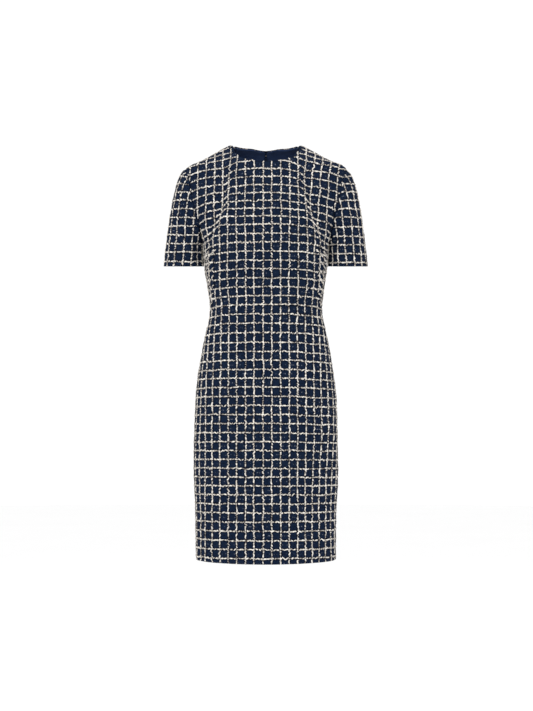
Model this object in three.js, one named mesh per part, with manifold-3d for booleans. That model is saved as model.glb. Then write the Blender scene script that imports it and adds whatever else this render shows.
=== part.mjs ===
// Sheath dress in boucle tweed: a close-fitting dress with a round neck, short set-in sleeves and a
// straight skirt, standing open and hollow as it does when worn. Millimetres, +Z up. The origin lies
// midway between the two neck points of the shoulder seams, where the wearer's shoulders carry the dress.
// The front faces -Y, and +X is the wearer's left.
import * as THREE from 'three';
import { mergeVertices } from 'three/addons/utils/BufferGeometryUtils.js';
import Module from 'manifold-3d';

const wasm = await Module();
wasm.setup();

// Driving dimensions.
const CLOTH = 2.0; // the tweed
const LINING_CLOTH = 1.0; // neck facings and zip tapes
const SEAM_GAP = 0.4; // between two pieces where a seam joins them
const ARMHOLE_GAP = 0.7; // the sleeve turns out of the panel there, so it keeps a little more
const LAYER_GAP = 0.5; // between a panel and what lies against its inside

const HEM_Z = -978;
const HEM_SIDE_LIFT = 4; // the hem is this much higher at the side seams
const NECK_HALF_WIDTH = 78.5;
const FRONT_NECK_DROP = 51;
const BACK_NECK_DROP = 1.5;
const NECK_SQUARENESS = 2.5; // exponent of the neckline's oval, seen from the front

const SHOULDER_TIP_Z = -60;
const UNDERARM_Z = -243;
const ARMHOLE_HALF_DEPTH = 50; // from the shoulder tip forwards, and backwards

const CUFF_CENTRE = { x: 193.5, y: 0, z: -289 };
const CUFF_HALF_WIDTH = 46.5;
const CUFF_HALF_DEPTH = 44;
const CUFF_SLANT = 6; // the cuff is this much lower at the front and higher at the back

const FACING_HALF_WIDTH = 140; // out along the shoulder seams
const FACING_EDGE = 0.6; // the facing rolls this far inside the neckline
const FACING_TURN_BACK = 4; // the back facings stop this far from the centre back

const ZIP_BOTTOM_Z = -565;
const TAPE_INNER_EDGE = 1.5; // from the centre back
const TAPE_OUTER_EDGE = 14; // at the shoulders, and in step with the body's width below
const TAPE_TOP_GAP = 3; // the tapes stop this far below the neckline
const SLIT_HALF_WIDTH = 1.2; // the centre back seam stands open above the slider
const SLIT_END_Z = -30;
const SLIDER_Z = -18;

// The body of the dress is a stack of oval sections, level with the floor. Down to the shoulder tip,
// halfWidth follows the shoulder seam. From there to the underarm it is the oval that the armhole cuts.
const OVALNESS = 2.3; // exponent of the ovals, where 2 is an ellipse
const SECTIONS = [
  { z: 0, halfWidth: 78.5, front: 25, back: 46 },
  { z: -4, halfWidth: 90, front: 28.5, back: 51.5 },
  { z: -11.5, halfWidth: 105.5, front: 34, back: 59.5 },
  { z: -25, halfWidth: 129, front: 44.5, back: 68 },
  { z: -38, halfWidth: 152, front: 55, back: 74 },
  { z: -60, halfWidth: 192, front: 69.5, back: 81 },
  { z: -85, halfWidth: 194.5, front: 79, back: 88 },
  { z: -110, halfWidth: 194, front: 88, back: 94 },
  { z: -139, halfWidth: 189, front: 98, back: 98.5 },
  { z: -176, halfWidth: 172, front: 110, back: 100.5 },
  { z: -205, halfWidth: 160, front: 117, back: 99.5 },
  { z: -245, halfWidth: 148, front: 122, back: 97 },
  { z: -270, halfWidth: 146, front: 119.5, back: 93 },
  { z: -299, halfWidth: 143.5, front: 109, back: 88 },
  { z: -327, halfWidth: 139, front: 99.5, back: 84 },
  { z: -355, halfWidth: 134.5, front: 92, back: 80.5 },
  { z: -388, halfWidth: 131, front: 88.5, back: 79 },
  { z: -412, halfWidth: 133, front: 89.5, back: 83 },
  { z: -440, halfWidth: 139.5, front: 93, back: 91 },
  { z: -496, halfWidth: 150.5, front: 98.5, back: 104 },
  { z: -552, halfWidth: 159, front: 102.5, back: 114 },
  { z: -609, halfWidth: 164.5, front: 104, back: 119 },
  { z: -721, halfWidth: 168, front: 104, back: 113.5 },
  { z: -768, halfWidth: 168.5, front: 103, back: 110 },
  { z: -871, halfWidth: 163.5, front: 100, back: 103 },
  { z: -978, halfWidth: 161.5, front: 97, back: 98 },
];

// How finely each piece is faceted.
const NECK_COLUMNS = 5; // round half the neckline
const SHOULDER_COLUMNS = 6; // along one shoulder seam
const SKIRT_ROWS = 21; // hem to underarm
const SKIRT_ROW_GROWTH = 1.3; // the rows lie closer towards the underarm
const ARMHOLE_ROWS = 12; // underarm to shoulder tip
const SLEEVE_ROWS = 9;
const FACING_ROWS = 4; // of the rows below the neckline

const FRONT = -1; // the sign of y on the front panel
const BACK = 1;

const cloth = { tweed: [0x2a3448, 0.95, 0], lining: [0x1a2640, 0.7, 0], metal: [0x1c2436, 0.35, 0.8] };

// ---- The surface of the body ----

// A smooth curve through the table's column that never overshoots a row.
function curveThrough(column) {
  const heights = SECTIONS.map((row) => row.z);
  const values = SECTIONS.map((row) => row[column]);
  const slopes = values.slice(1).map((value, i) => (value - values[i]) / (heights[i + 1] - heights[i]));
  const tangents = values.map((_, i) => {
    if (i === 0) return slopes[0];
    if (i === slopes.length) return slopes[i - 1];
    const [above, below] = [slopes[i - 1], slopes[i]];
    return above * below <= 0 ? 0 : (2 * above * below) / (above + below);
  });
  return (z) => {
    const inside = THREE.MathUtils.clamp(z, heights[heights.length - 1], heights[0]);
    let i = heights.findIndex((height, k) => k > 0 && inside >= height) - 1;
    if (i < 0) i = heights.length - 2;
    const span = heights[i + 1] - heights[i];
    const t = (inside - heights[i]) / span;
    return hermite(values[i], tangents[i] * span, values[i + 1], tangents[i + 1] * span, t);
  };
}

function hermite(start, startTangent, end, endTangent, t) {
  const t2 = t * t;
  const t3 = t2 * t;
  return (
    (2 * t3 - 3 * t2 + 1) * start +
    (t3 - 2 * t2 + t) * startTangent +
    (3 * t2 - 2 * t3) * end +
    (t3 - t2) * endTangent
  );
}

const halfWidthAt = curveThrough('halfWidth');
const frontDepthAt = curveThrough('front');
const backDepthAt = curveThrough('back');

const depthAt = (z, face) => (face === FRONT ? frontDepthAt(z) : backDepthAt(z));

// The point of the outer surface at this x and z.
function bodyPoint(x, z, face) {
  const across = Math.min(1, Math.abs(x) / halfWidthAt(z));
  return new THREE.Vector3(x, face * depthAt(z, face) * (1 - across ** OVALNESS) ** (1 / OVALNESS), z);
}

// The outward direction there, from the slope of the oval's formula.
function bodyNormal(point, face) {
  const formula = (x, y, z) =>
    (Math.abs(x) / halfWidthAt(z)) ** OVALNESS + (Math.abs(y) / depthAt(z, face)) ** OVALNESS;
  const step = 0.25;
  const { x, y } = point;
  const z = Math.min(point.z, -2 * step);
  return new THREE.Vector3(
    formula(x + step, y, z) - formula(x - step, y, z),
    formula(x, y + step, z) - formula(x, y - step, z),
    formula(x, y, z + step) - formula(x, y, z - step),
  ).normalize();
}

// The height of the shoulder seam at this distance from the centre.
function shoulderZ(x) {
  let [low, high] = [SHOULDER_TIP_Z, 0];
  for (let i = 0; i < 40; i++) {
    const middle = (low + high) / 2;
    if (halfWidthAt(middle) > Math.abs(x)) low = middle;
    else high = middle;
  }
  return (low + high) / 2;
}

// The upper edge of a front or back: neckline, then shoulder seam.
function topEdgeZ(x, face) {
  const across = Math.abs(x) / NECK_HALF_WIDTH;
  if (across >= 1) return shoulderZ(x);
  const drop = face === FRONT ? FRONT_NECK_DROP : BACK_NECK_DROP;
  return -drop * (1 - across ** NECK_SQUARENESS) ** (1 / NECK_SQUARENESS);
}

const hemZ = (across) => HEM_Z + HEM_SIDE_LIFT * across ** 2;

// ---- The armhole ----

const ARMHOLE_CENTRE_Z = (SHOULDER_TIP_Z + UNDERARM_Z) / 2;
const ARMHOLE_HALF_HEIGHT = (SHOULDER_TIP_Z - UNDERARM_Z) / 2;

// A point of the armhole's edge on the wearer's left. The angle is 0 at the shoulder tip, a quarter turn
// at the front and half a turn at the underarm.
function armholePoint(angle) {
  const y = -ARMHOLE_HALF_DEPTH * Math.sin(angle);
  const z = ARMHOLE_CENTRE_Z + ARMHOLE_HALF_HEIGHT * Math.cos(angle);
  const face = y < 0 ? FRONT : BACK;
  const x = halfWidthAt(z) * (1 - (Math.abs(y) / depthAt(z, face)) ** OVALNESS) ** (1 / OVALNESS);
  return new THREE.Vector3(x, y, z);
}

// ---- Closed walls from grids of points ----

// A wall between the grid's points and the same points moved inwards by the thickness. Each grid cell is
// { point, normal }. A ring closes on itself along its rows.
function wall(grid, thickness, ring = false) {
  const columns = grid[0].length;
  const positions = [];
  const index = [];
  for (const depth of [0, thickness]) {
    for (const row of grid) {
      for (const { point, normal } of row) positions.push(...point.clone().addScaledVector(normal, -depth));
    }
  }
  const layer = grid.length * columns;
  const at = (row, column, inner) => inner * layer + row * columns + (column % columns);
  const quad = (a, b, c, d) => index.push(a, b, c, a, c, d);
  const lastColumn = ring ? columns : columns - 1;
  for (let r = 0; r < grid.length - 1; r++) {
    for (let c = 0; c < lastColumn; c++) {
      quad(at(r, c, 0), at(r, c + 1, 0), at(r + 1, c + 1, 0), at(r + 1, c, 0));
      quad(at(r, c, 1), at(r + 1, c, 1), at(r + 1, c + 1, 1), at(r, c + 1, 1));
    }
  }
  for (let c = 0; c < lastColumn; c++) {
    const top = grid.length - 1;
    quad(at(0, c, 1), at(0, c + 1, 1), at(0, c + 1, 0), at(0, c, 0));
    quad(at(top, c, 0), at(top, c + 1, 0), at(top, c + 1, 1), at(top, c, 1));
  }
  const last = columns - 1;
  for (let r = 0; !ring && r < grid.length - 1; r++) {
    quad(at(r, 0, 0), at(r + 1, 0, 0), at(r + 1, 0, 1), at(r, 0, 1));
    quad(at(r + 1, last, 0), at(r, last, 0), at(r, last, 1), at(r + 1, last, 1));
  }
  return facingOut(positions, index);
}

function facingOut(positions, index) {
  const corner = (i) => new THREE.Vector3().fromArray(positions, 3 * index[i]);
  let volume = 0;
  for (let i = 0; i < index.length; i += 3) volume += corner(i).dot(corner(i + 1).cross(corner(i + 2)));
  const geometry = new THREE.BufferGeometry();
  geometry.setAttribute('position', new THREE.Float32BufferAttribute(positions, 3));
  geometry.setIndex(volume < 0 ? index.reverse() : index);
  geometry.computeVertexNormals();
  return geometry;
}

// Draws one edge of a grid back from its seam, along the cloth.
function drawBack(edge, neighbours, distanceAt) {
  edge.forEach((cell, i) => {
    const inwards = neighbours[i].point.clone().sub(cell.point).normalize();
    cell.point.addScaledVector(inwards, distanceAt(cell.point.z));
  });
}

const halfGap = () => SEAM_GAP / 2;

function named(name, geometry, [color, roughness, metalness]) {
  const mesh = new THREE.Mesh(geometry, new THREE.MeshStandardMaterial({ color, roughness, metalness }));
  mesh.name = name;
  return mesh;
}

// ---- Front and backs ----

// Where half a panel's columns stand, as parts of the way from the centre to the side. On the upper edge
// they take even steps of angle round the neckline, with one column on the neck point, and even steps along
// the shoulder. They fan out from there to even steps of angle round the body at the underarm and below.
const HALF_COLUMNS = (() => {
  const count = NECK_COLUMNS + SHOULDER_COLUMNS;
  const neckPart = NECK_HALF_WIDTH / halfWidthAt(SHOULDER_TIP_Z);
  const quarter = Math.PI / 2;
  const columns = [];
  for (let i = 0; i <= count; i++) {
    const along = (i - NECK_COLUMNS) / SHOULDER_COLUMNS;
    const top =
      i <= NECK_COLUMNS
        ? neckPart * Math.sin((quarter * i) / NECK_COLUMNS)
        : THREE.MathUtils.lerp(neckPart, 1, along);
    columns.push({ top, body: Math.sin((quarter * i) / count) ** (2 / OVALNESS) });
  }
  return columns;
})();
const mirrored = ({ top, body }) => ({ top: -top, body: -body });
const FRONT_COLUMNS = [...HALF_COLUMNS.slice(1).reverse().map(mirrored), ...HALF_COLUMNS];
const TAPE_PART = TAPE_OUTER_EDGE / halfWidthAt(SHOULDER_TIP_Z);
const BACK_COLUMNS = [HALF_COLUMNS[0], { top: TAPE_PART, body: TAPE_PART }, ...HALF_COLUMNS.slice(1)];

function panelCell(x, z, face) {
  const point = bodyPoint(x, z, face);
  return { point, normal: bodyNormal(point, face) };
}

// One column of a panel, from the hem up to the neckline or shoulder seam.
function panelColumn({ top, body }, face) {
  const bottom = hemZ(Math.abs(body));
  const cells = [];
  for (let row = 0; row < SKIRT_ROWS; row++) {
    const left = (1 - row / SKIRT_ROWS) ** SKIRT_ROW_GROWTH;
    const z = UNDERARM_Z + (bottom - UNDERARM_Z) * left;
    cells.push(panelCell(body * halfWidthAt(z), z, face));
  }
  const rise = topEdgeZ(top * halfWidthAt(SHOULDER_TIP_Z), face) - UNDERARM_Z;
  for (let row = 0; row <= ARMHOLE_ROWS; row++) {
    const angle = Math.PI * (1 - row / ARMHOLE_ROWS);
    const z = UNDERARM_Z + (rise * (1 + Math.cos(angle))) / 2;
    const across = THREE.MathUtils.lerp(top, body, Math.sin(angle / 2));
    cells.push(panelCell(across * armholePoint(-face * angle).x, z, face));
  }
  return cells;
}

// The points of a front or back before any edge is drawn back from its seam, as rows from the hem up.
function panelRows(places, face) {
  const columns = places.map((place) => panelColumn(place, face));
  return columns[0].map((_, row) => columns.map((cells) => cells[row]));
}

const frontRows = () => panelRows(FRONT_COLUMNS, FRONT);
const backRows = (side) => panelRows(side > 0 ? BACK_COLUMNS : BACK_COLUMNS.map(mirrored), BACK);
const columnOf = (rows, column) => rows.map((cells) => cells.at(column));

function drawBackSideSeam(rows, edge, neighbour) {
  const seam = rows.slice(0, SKIRT_ROWS + 1);
  drawBack(columnOf(seam, edge), columnOf(seam, neighbour), halfGap);
}

function frontPanel() {
  const rows = frontRows();
  drawBackSideSeam(rows, 0, 1);
  drawBackSideSeam(rows, -1, -2);
  drawBack(rows.at(-1), rows.at(-2), halfGap);
  return wall(rows, CLOTH);
}

// The centre back seam stands open above the zip's slider.
function centreBackInset(z) {
  const opening = THREE.MathUtils.clamp((z - SLIT_END_Z) / 10, 0, 1);
  return THREE.MathUtils.lerp(halfGap(), SLIT_HALF_WIDTH, opening);
}

function backPanel(side) {
  const rows = backRows(side);
  for (const { point } of columnOf(rows, 0)) point.setX(side * centreBackInset(point.z));
  drawBackSideSeam(rows, -1, -2);
  drawBack(rows.at(-1), rows.at(-2), halfGap);
  return wall(rows, CLOTH);
}

// ---- Sleeves ----

// How far the sleeve turns out of the body's surface at the armhole: its head stands out a little from the
// shoulder tip, and it folds right over at the underarm. Degrees.
const TURN_AT_TIP = 45;
const TURN_AT_UNDERARM = 165;
const TURN_SHARPNESS = 2.91;
const START_PULL = 0.42; // how long the sleeve keeps its first direction, as a part of the column's length
const END_PULL = 0.95;
const SLEEVE_FLARE = 0.12; // the outer arm line still moves out at the cuff

function cuffPoint(angle) {
  return new THREE.Vector3(
    CUFF_CENTRE.x + CUFF_HALF_WIDTH * Math.cos(angle),
    CUFF_CENTRE.y - CUFF_HALF_DEPTH * Math.sin(angle),
    CUFF_CENTRE.z - CUFF_SLANT * Math.sin(angle),
  );
}

// Where the sleeve starts and which way it goes, as the middle of its cloth.
function sleeveStart(angle) {
  const edge = armholePoint(angle);
  const face = edge.y < 0 ? FRONT : BACK;
  const out = bodyNormal(edge, face);
  const step = 0.02;
  const along = armholePoint(angle + step).sub(armholePoint(angle - step)).normalize();
  const beyond = out.clone().cross(along).normalize();
  const share = ((1 - Math.cos(angle)) / 2) ** TURN_SHARPNESS;
  const turn = THREE.MathUtils.degToRad(THREE.MathUtils.lerp(TURN_AT_TIP, TURN_AT_UNDERARM, share));
  const half = CLOTH / 2;
  const start = edge
    .addScaledVector(beyond, ARMHOLE_GAP)
    .addScaledVector(out, ARMHOLE_GAP - half * Math.cos(turn));
  const direction = beyond.multiplyScalar(Math.cos(turn)).addScaledVector(out, Math.sin(turn));
  return { start, direction };
}

function sleevePoint(angle, part) {
  const { start, direction } = sleeveStart(angle);
  const end = cuffPoint(angle);
  const length = start.distanceTo(end);
  const flare = (SLEEVE_FLARE * (1 + Math.cos(angle))) / 2;
  const startTangent = direction.multiplyScalar(START_PULL * length);
  const endTangent = new THREE.Vector3(flare, 0, -1).normalize().multiplyScalar(END_PULL * length);
  const coordinate = (axis) => hermite(start[axis], startTangent[axis], end[axis], endTangent[axis], part);
  return new THREE.Vector3(coordinate('x'), coordinate('y'), coordinate('z'));
}

function sleeveCell(angle, part) {
  const middle = sleevePoint(angle, part);
  const step = 0.01;
  const around = sleevePoint(angle + step, part).sub(sleevePoint(angle - step, part));
  const above = sleevePoint(angle, Math.max(0, part - step));
  const down = sleevePoint(angle, Math.min(1, part + step)).sub(above);
  const normal = around.cross(down).normalize().negate();
  return { point: middle.clone().addScaledVector(normal, CLOTH / 2), normal };
}

function sleeve(side) {
  const around = 2 * ARMHOLE_ROWS;
  const rows = [];
  for (let row = 0; row <= SLEEVE_ROWS; row++) {
    const cells = [];
    for (let i = 0; i < around; i++) cells.push(sleeveCell((2 * Math.PI * i) / around, row / SLEEVE_ROWS));
    rows.push(cells);
  }
  for (const { point, normal } of rows.flat()) {
    point.x *= side;
    normal.x *= side;
  }
  return wall(rows, CLOTH, true);
}

// ---- What lies against the inside of the panels, made from their points ----

function movedIn({ point, normal }, depth) {
  return { point: point.clone().addScaledVector(normal, -depth), normal };
}

const UNDER_PANEL = CLOTH + LAYER_GAP;
const UNDER_TAPE = UNDER_PANEL + LINING_CLOTH + LAYER_GAP;

// The facing follows the neckline and the shoulder seams.
function facing(rows) {
  drawBack(rows.at(-1), rows.at(-2), () => FACING_EDGE);
  return wall(rows, LINING_CLOTH);
}

const facingRowsOf = (rows) => rows.slice(-FACING_ROWS - 1);
const facingReaches = ({ top }) => Math.abs(top) * halfWidthAt(SHOULDER_TIP_Z) <= FACING_HALF_WIDTH;

function frontFacing() {
  const inReach = (_, column) => facingReaches(FRONT_COLUMNS[column]);
  const rows = facingRowsOf(frontRows()).map((cells) =>
    cells.filter(inReach).map((cell) => movedIn(cell, UNDER_PANEL)),
  );
  return facing(rows);
}

// At the centre back the facing steps over the zip tape.
function backFacing(side) {
  const inReach = (_, column) => facingReaches(BACK_COLUMNS[column]);
  const rows = facingRowsOf(backRows(side)).map((cells) =>
    cells.filter(inReach).map((cell, column) => movedIn(cell, column < 2 ? UNDER_TAPE : UNDER_PANEL)),
  );
  for (const { point } of columnOf(rows, 0)) point.setX(side * FACING_TURN_BACK);
  return facing(rows);
}

function zipTape(side) {
  const rows = backRows(side)
    .filter((cells, row) => row >= SKIRT_ROWS || cells[0].point.z > ZIP_BOTTOM_Z)
    .map((cells) => cells.slice(0, 2).map((cell) => movedIn(cell, UNDER_PANEL)));
  for (const [inner, outer] of rows) {
    outer.point.x -= side * TAPE_INNER_EDGE;
    inner.point.setX(side * TAPE_INNER_EDGE);
  }
  drawBack(rows.at(-1), rows.at(-2), () => TAPE_TOP_GAP);
  return wall(rows, LINING_CLOTH);
}

// ---- Zip slider and pull ----

const SLIDER = { width: 5, height: 9, depth: 2.6 };
const FIN_THICKNESS = 0.8; // passes through the slit
const PIVOT_STAND_OFF = 1.8; // the pull's pivot, above the tweed's outside
const EYE_RADIUS = 1.05;
const EYE_RIM = 0.85;
const FIN_HALF_HEIGHT = 1.4;
const PULL = {
  width: 5.2,
  headHalfWidth: 2.1,
  length: 22,
  thickness: 1.0,
  bar: 1.0,
  windowHalfWidth: 0.9,
  windowEnd: 4.0,
};

function solidFrom(geometry) {
  const bare = geometry.index ? geometry.toNonIndexed() : geometry;
  bare.deleteAttribute('normal');
  bare.deleteAttribute('uv');
  const merged = mergeVertices(bare, 1e-5);
  const mesh = new wasm.Mesh({
    numProp: 3,
    vertProperties: new Float32Array(merged.attributes.position.array),
    triVerts: new Uint32Array(merged.index.array),
  });
  return new wasm.Manifold(mesh);
}

function geometryFrom(solid) {
  const { vertProperties, triVerts } = solid.getMesh();
  const geometry = new THREE.BufferGeometry();
  geometry.setAttribute('position', new THREE.Float32BufferAttribute(vertProperties, 3));
  geometry.setIndex(Array.from(triVerts));
  geometry.computeVertexNormals();
  return geometry;
}

// A flat plate of this outline, whose thickness lies evenly on both sides of the outline's plane.
function plate(shape, thickness) {
  const options = { depth: thickness, bevelEnabled: false, curveSegments: 8 };
  return new THREE.ExtrudeGeometry(shape, options).translate(0, 0, -thickness / 2);
}

// An outline in the plane of the slit, y outwards and z up, given a thickness across it.
function slitPlate(shape, thickness) {
  const geometry = plate(shape, thickness);
  geometry.applyMatrix4(
    new THREE.Matrix4().makeBasis(
      new THREE.Vector3(0, 1, 0),
      new THREE.Vector3(0, 0, 1),
      new THREE.Vector3(1, 0, 0),
    ),
  );
  return geometry;
}

// The slider: a block behind the tapes, with a fin that reaches out through the slit and ends in an eye.
function zipSlider() {
  const blockFront = -UNDER_TAPE - LAYER_GAP;
  const block = new THREE.BoxGeometry(SLIDER.width, SLIDER.depth, SLIDER.height);
  block.translate(0, blockFront - SLIDER.depth / 2, 0);
  const rim = EYE_RADIUS + EYE_RIM;
  const meet = Math.asin(FIN_HALF_HEIGHT / rim);
  const shape = new THREE.Shape();
  shape.moveTo(blockFront - 1, FIN_HALF_HEIGHT);
  shape.lineTo(blockFront - 1, -FIN_HALF_HEIGHT);
  shape.absarc(PIVOT_STAND_OFF, 0, rim, -Math.PI + meet, Math.PI - meet, false);
  shape.closePath();
  const eye = new THREE.Path();
  eye.absarc(PIVOT_STAND_OFF, 0, EYE_RADIUS, 0, 2 * Math.PI, true);
  shape.holes.push(eye);
  return geometryFrom(solidFrom(block).add(solidFrom(slitPlate(shape, FIN_THICKNESS))));
}

// The pull: a flat tab with a window at its head, whose upper bar turns in the slider's eye.
function zipPull() {
  const half = PULL.width / 2;
  const top = PULL.bar / 2;
  const shape = new THREE.Shape();
  shape.absarc(0, -PULL.length + half, half, Math.PI, 2 * Math.PI, false);
  shape.lineTo(PULL.headHalfWidth, top);
  shape.lineTo(-PULL.headHalfWidth, top);
  const window = new THREE.Path();
  window.moveTo(-PULL.windowHalfWidth, -top);
  window.lineTo(PULL.windowHalfWidth, -top);
  window.lineTo(PULL.windowHalfWidth, -PULL.windowEnd);
  window.lineTo(-PULL.windowHalfWidth, -PULL.windowEnd);
  shape.holes.push(window);
  const geometry = plate(shape, PULL.thickness);
  geometry.rotateX(Math.PI / 2);
  geometry.translate(0, PIVOT_STAND_OFF, 0);
  return geometry;
}

// The slider and pull stand on the back's surface, square to it.
function zipHead() {
  const seat = bodyPoint(0, SLIDER_Z, BACK);
  const out = bodyNormal(seat, BACK);
  const head = new THREE.Group();
  head.position.copy(seat);
  head.rotation.x = Math.atan2(out.z, out.y);
  head.add(named('zip_slider', zipSlider(), cloth.metal), named('zip_pull', zipPull(), cloth.metal));
  return head;
}

// ---- The dress ----

const dress = new THREE.Group();
dress.add(
  named('front', frontPanel(), cloth.tweed),
  named('back_left', backPanel(1), cloth.tweed),
  named('back_right', backPanel(-1), cloth.tweed),
  named('sleeve_left', sleeve(1), cloth.tweed),
  named('sleeve_right', sleeve(-1), cloth.tweed),
  named('facing_front', frontFacing(), cloth.lining),
  named('facing_back_left', backFacing(1), cloth.lining),
  named('facing_back_right', backFacing(-1), cloth.lining),
  named('zip_tape_left', zipTape(1), cloth.lining),
  named('zip_tape_right', zipTape(-1), cloth.lining),
  zipHead(),
);

export default dress;
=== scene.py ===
"""Looks of a sheath dress in windowpane boucle tweed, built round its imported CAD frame.

Each cut piece is a thin shell on the form of its CAD solid, with the drag folds that the cloth takes
when it is worn. Everything is in metres, in the frame of the CAD model: the origin lies midway between
the two neck points, the front faces -Y and +X is the wearer's left.
"""

import logging
import math
from dataclasses import dataclass, field
from enum import Enum
from typing import Any, ClassVar, Iterator, Mapping, NamedTuple, Sequence, Union

import bmesh
import bpy
import numpy as np
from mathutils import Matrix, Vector

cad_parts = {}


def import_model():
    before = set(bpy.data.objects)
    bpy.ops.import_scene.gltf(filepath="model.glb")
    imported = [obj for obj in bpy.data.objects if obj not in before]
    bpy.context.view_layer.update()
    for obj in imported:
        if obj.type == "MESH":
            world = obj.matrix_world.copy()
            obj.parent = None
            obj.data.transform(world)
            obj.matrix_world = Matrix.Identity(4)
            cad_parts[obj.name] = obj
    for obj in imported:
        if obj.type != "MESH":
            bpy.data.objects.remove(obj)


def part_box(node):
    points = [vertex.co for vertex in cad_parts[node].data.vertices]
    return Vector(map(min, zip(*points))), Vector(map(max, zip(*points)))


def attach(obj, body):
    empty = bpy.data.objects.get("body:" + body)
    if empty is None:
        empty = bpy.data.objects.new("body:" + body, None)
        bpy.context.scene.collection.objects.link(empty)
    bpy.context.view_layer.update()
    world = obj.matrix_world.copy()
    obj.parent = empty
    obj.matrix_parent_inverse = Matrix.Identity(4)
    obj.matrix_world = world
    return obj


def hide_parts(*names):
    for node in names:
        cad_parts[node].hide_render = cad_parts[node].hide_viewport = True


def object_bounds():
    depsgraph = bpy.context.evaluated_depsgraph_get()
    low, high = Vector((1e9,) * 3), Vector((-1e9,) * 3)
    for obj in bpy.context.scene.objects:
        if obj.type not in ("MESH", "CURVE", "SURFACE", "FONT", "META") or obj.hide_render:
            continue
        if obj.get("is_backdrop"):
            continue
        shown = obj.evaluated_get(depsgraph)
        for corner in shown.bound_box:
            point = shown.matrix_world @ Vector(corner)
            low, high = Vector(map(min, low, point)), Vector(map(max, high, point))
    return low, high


LOG = logging.getLogger("sheath_dress")

MM = 0.001
TWEED_THICKNESS = 2.0 * MM
CLOTH_MAP = "cloth"
SHADE = "shade"
BARE = 9  # the zone of cloth that carries no yarn

Range = tuple[float, float]
Place = tuple[float, float, float]
Colour = tuple[float, float, float]


class Face(Enum):
    """Which side of the body a panel covers, as the sign of y."""

    FRONT = -1
    BACK = 1


class Side(Enum):
    """A side of the wearer, as the sign of x."""

    LEFT = 1
    RIGHT = -1

    def names(self, piece: str) -> str:
        """The name of this side's piece of two."""
        return f"{piece}_{self.name.lower()}"


# --- Numbers --------------------------------------------------------


def smooth_step(value: np.ndarray, start: float, end: float) -> np.ndarray:
    """Rises softly from 0 at start to 1 at end."""
    part = np.clip((value - start) / (end - start), 0.0, 1.0)
    return part * part * (3.0 - 2.0 * part)


def fade(value: np.ndarray, start: float, end: float) -> np.ndarray:
    """Falls softly from 1 at start to 0 at end."""
    return 1.0 - smooth_step(value, start, end)


class Band(NamedTuple):
    """A stretch with soft ends: the places where it starts, is full, starts to fade, and ends."""

    start: float
    full: float
    fading: float
    end: float

    def at(self, value: np.ndarray) -> np.ndarray:
        """Goes from 0 outside the stretch to 1 inside it."""
        return smooth_step(value, self.start, self.full) * fade(value, self.fading, self.end)


class Lines(NamedTuple):
    """Evenly spaced lines, as the space from one to the next and the place of one of them."""

    pitch: float
    first: float

    def midway(self) -> "Lines":
        """The lines midway between these."""
        return Lines(self.pitch, self.first + self.pitch / 2)


def mix(start: Any, end: Any, part: Any) -> Any:
    """Goes straight from start, where part is 0, to end, where it is 1."""
    return start + (end - start) * part


def unit(vectors: np.ndarray) -> np.ndarray:
    """Scales each vector along the last axis to a length of 1."""
    return vectors / np.maximum(np.linalg.norm(vectors, axis=-1, keepdims=True), 1e-12)


def hermite(start: Any, start_slope: Any, end: Any, end_slope: Any, part: Any) -> Any:
    """A cubic between two values, given its slopes there.

    Args:
        start, end: The values where part is 0 and 1.
        start_slope, end_slope: The slopes there, per unit of part.
        part: How far along, from 0 to 1.

    Returns:
        The value at part.
    """
    square, cube = part**2, part**3
    return (
        (2 * cube - 3 * square + 1) * start
        + (cube - 2 * square + part) * start_slope
        + (3 * square - 2 * cube) * end
        + (cube - square) * end_slope
    )


def length_along(points: np.ndarray, axis: int = 0) -> np.ndarray:
    """The distance along lines of points from their first one.

    Args:
        points: Points, with x, y and z on the last axis.
        axis: The axis that a line runs along.

    Returns:
        One distance for each point.
    """
    steps = np.linalg.norm(np.diff(points, axis=axis), axis=-1)
    start = np.zeros_like(np.take(steps, [0], axis=axis))
    return np.concatenate([start, np.cumsum(steps, axis=axis)], axis=axis)


def read_along(line: np.ndarray, travelled: np.ndarray, at: np.ndarray) -> np.ndarray:
    """Reads a line at some distances along it.

    Args:
        line: Its points, or a direction for each of them.
        travelled: How far along it each of them is.
        at: The distances asked for.

    Returns:
        The points or directions there.
    """
    return np.stack([np.interp(at, travelled, column) for column in line.T], axis=-1)


def bilinear(table: np.ndarray, row: np.ndarray, column: np.ndarray) -> np.ndarray:
    """Reads a table at places between its rows and columns.

    Args:
        table: The values, one row after another.
        row, column: The places, as fractional indices of the same shape.

    Returns:
        The values there.
    """
    inside = 1.001  # just short of the last row or column, so that each place has a next one
    row = np.clip(row, 0, table.shape[0] - inside)
    column = np.clip(column, 0, table.shape[1] - inside)
    r, c = row.astype(int), column.astype(int)
    down, across = row - r, column - c
    upper = mix(table[r, c], table[r, c + 1], across)
    lower = mix(table[r + 1, c], table[r + 1, c + 1], across)
    return mix(upper, lower, down)


def soft_noise(rng: np.random.Generator, count: int, reach: float) -> np.ndarray:
    """Even noise along a line, with a spread of about 1.

    Args:
        rng: The source of random numbers.
        count: How many values.
        reach: Over how many values the noise keeps its direction.

    Returns:
        The noise.
    """
    half = max(1, int(3 * reach))
    kernel = np.exp(-0.5 * (np.arange(-half, half + 1) / reach) ** 2)
    kernel /= np.sqrt((kernel**2).sum())
    return np.convolve(rng.standard_normal(count + 2 * half), kernel, mode="valid")[:count]


# --- Objects --------------------------------------------------------


def placed(name: str, data: bpy.types.ID) -> bpy.types.Object:
    """Makes an object of a mesh, light or camera, and puts it in the scene."""
    made = bpy.data.objects.new(name, data)
    bpy.context.scene.collection.objects.link(made)
    return made


def meshed(name: str, built: bmesh.types.BMesh) -> bpy.types.Object:
    """Turns what bmesh has built into an object in the scene."""
    mesh = bpy.data.meshes.new(name)
    built.to_mesh(mesh)
    built.free()
    return placed(name, mesh)


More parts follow.
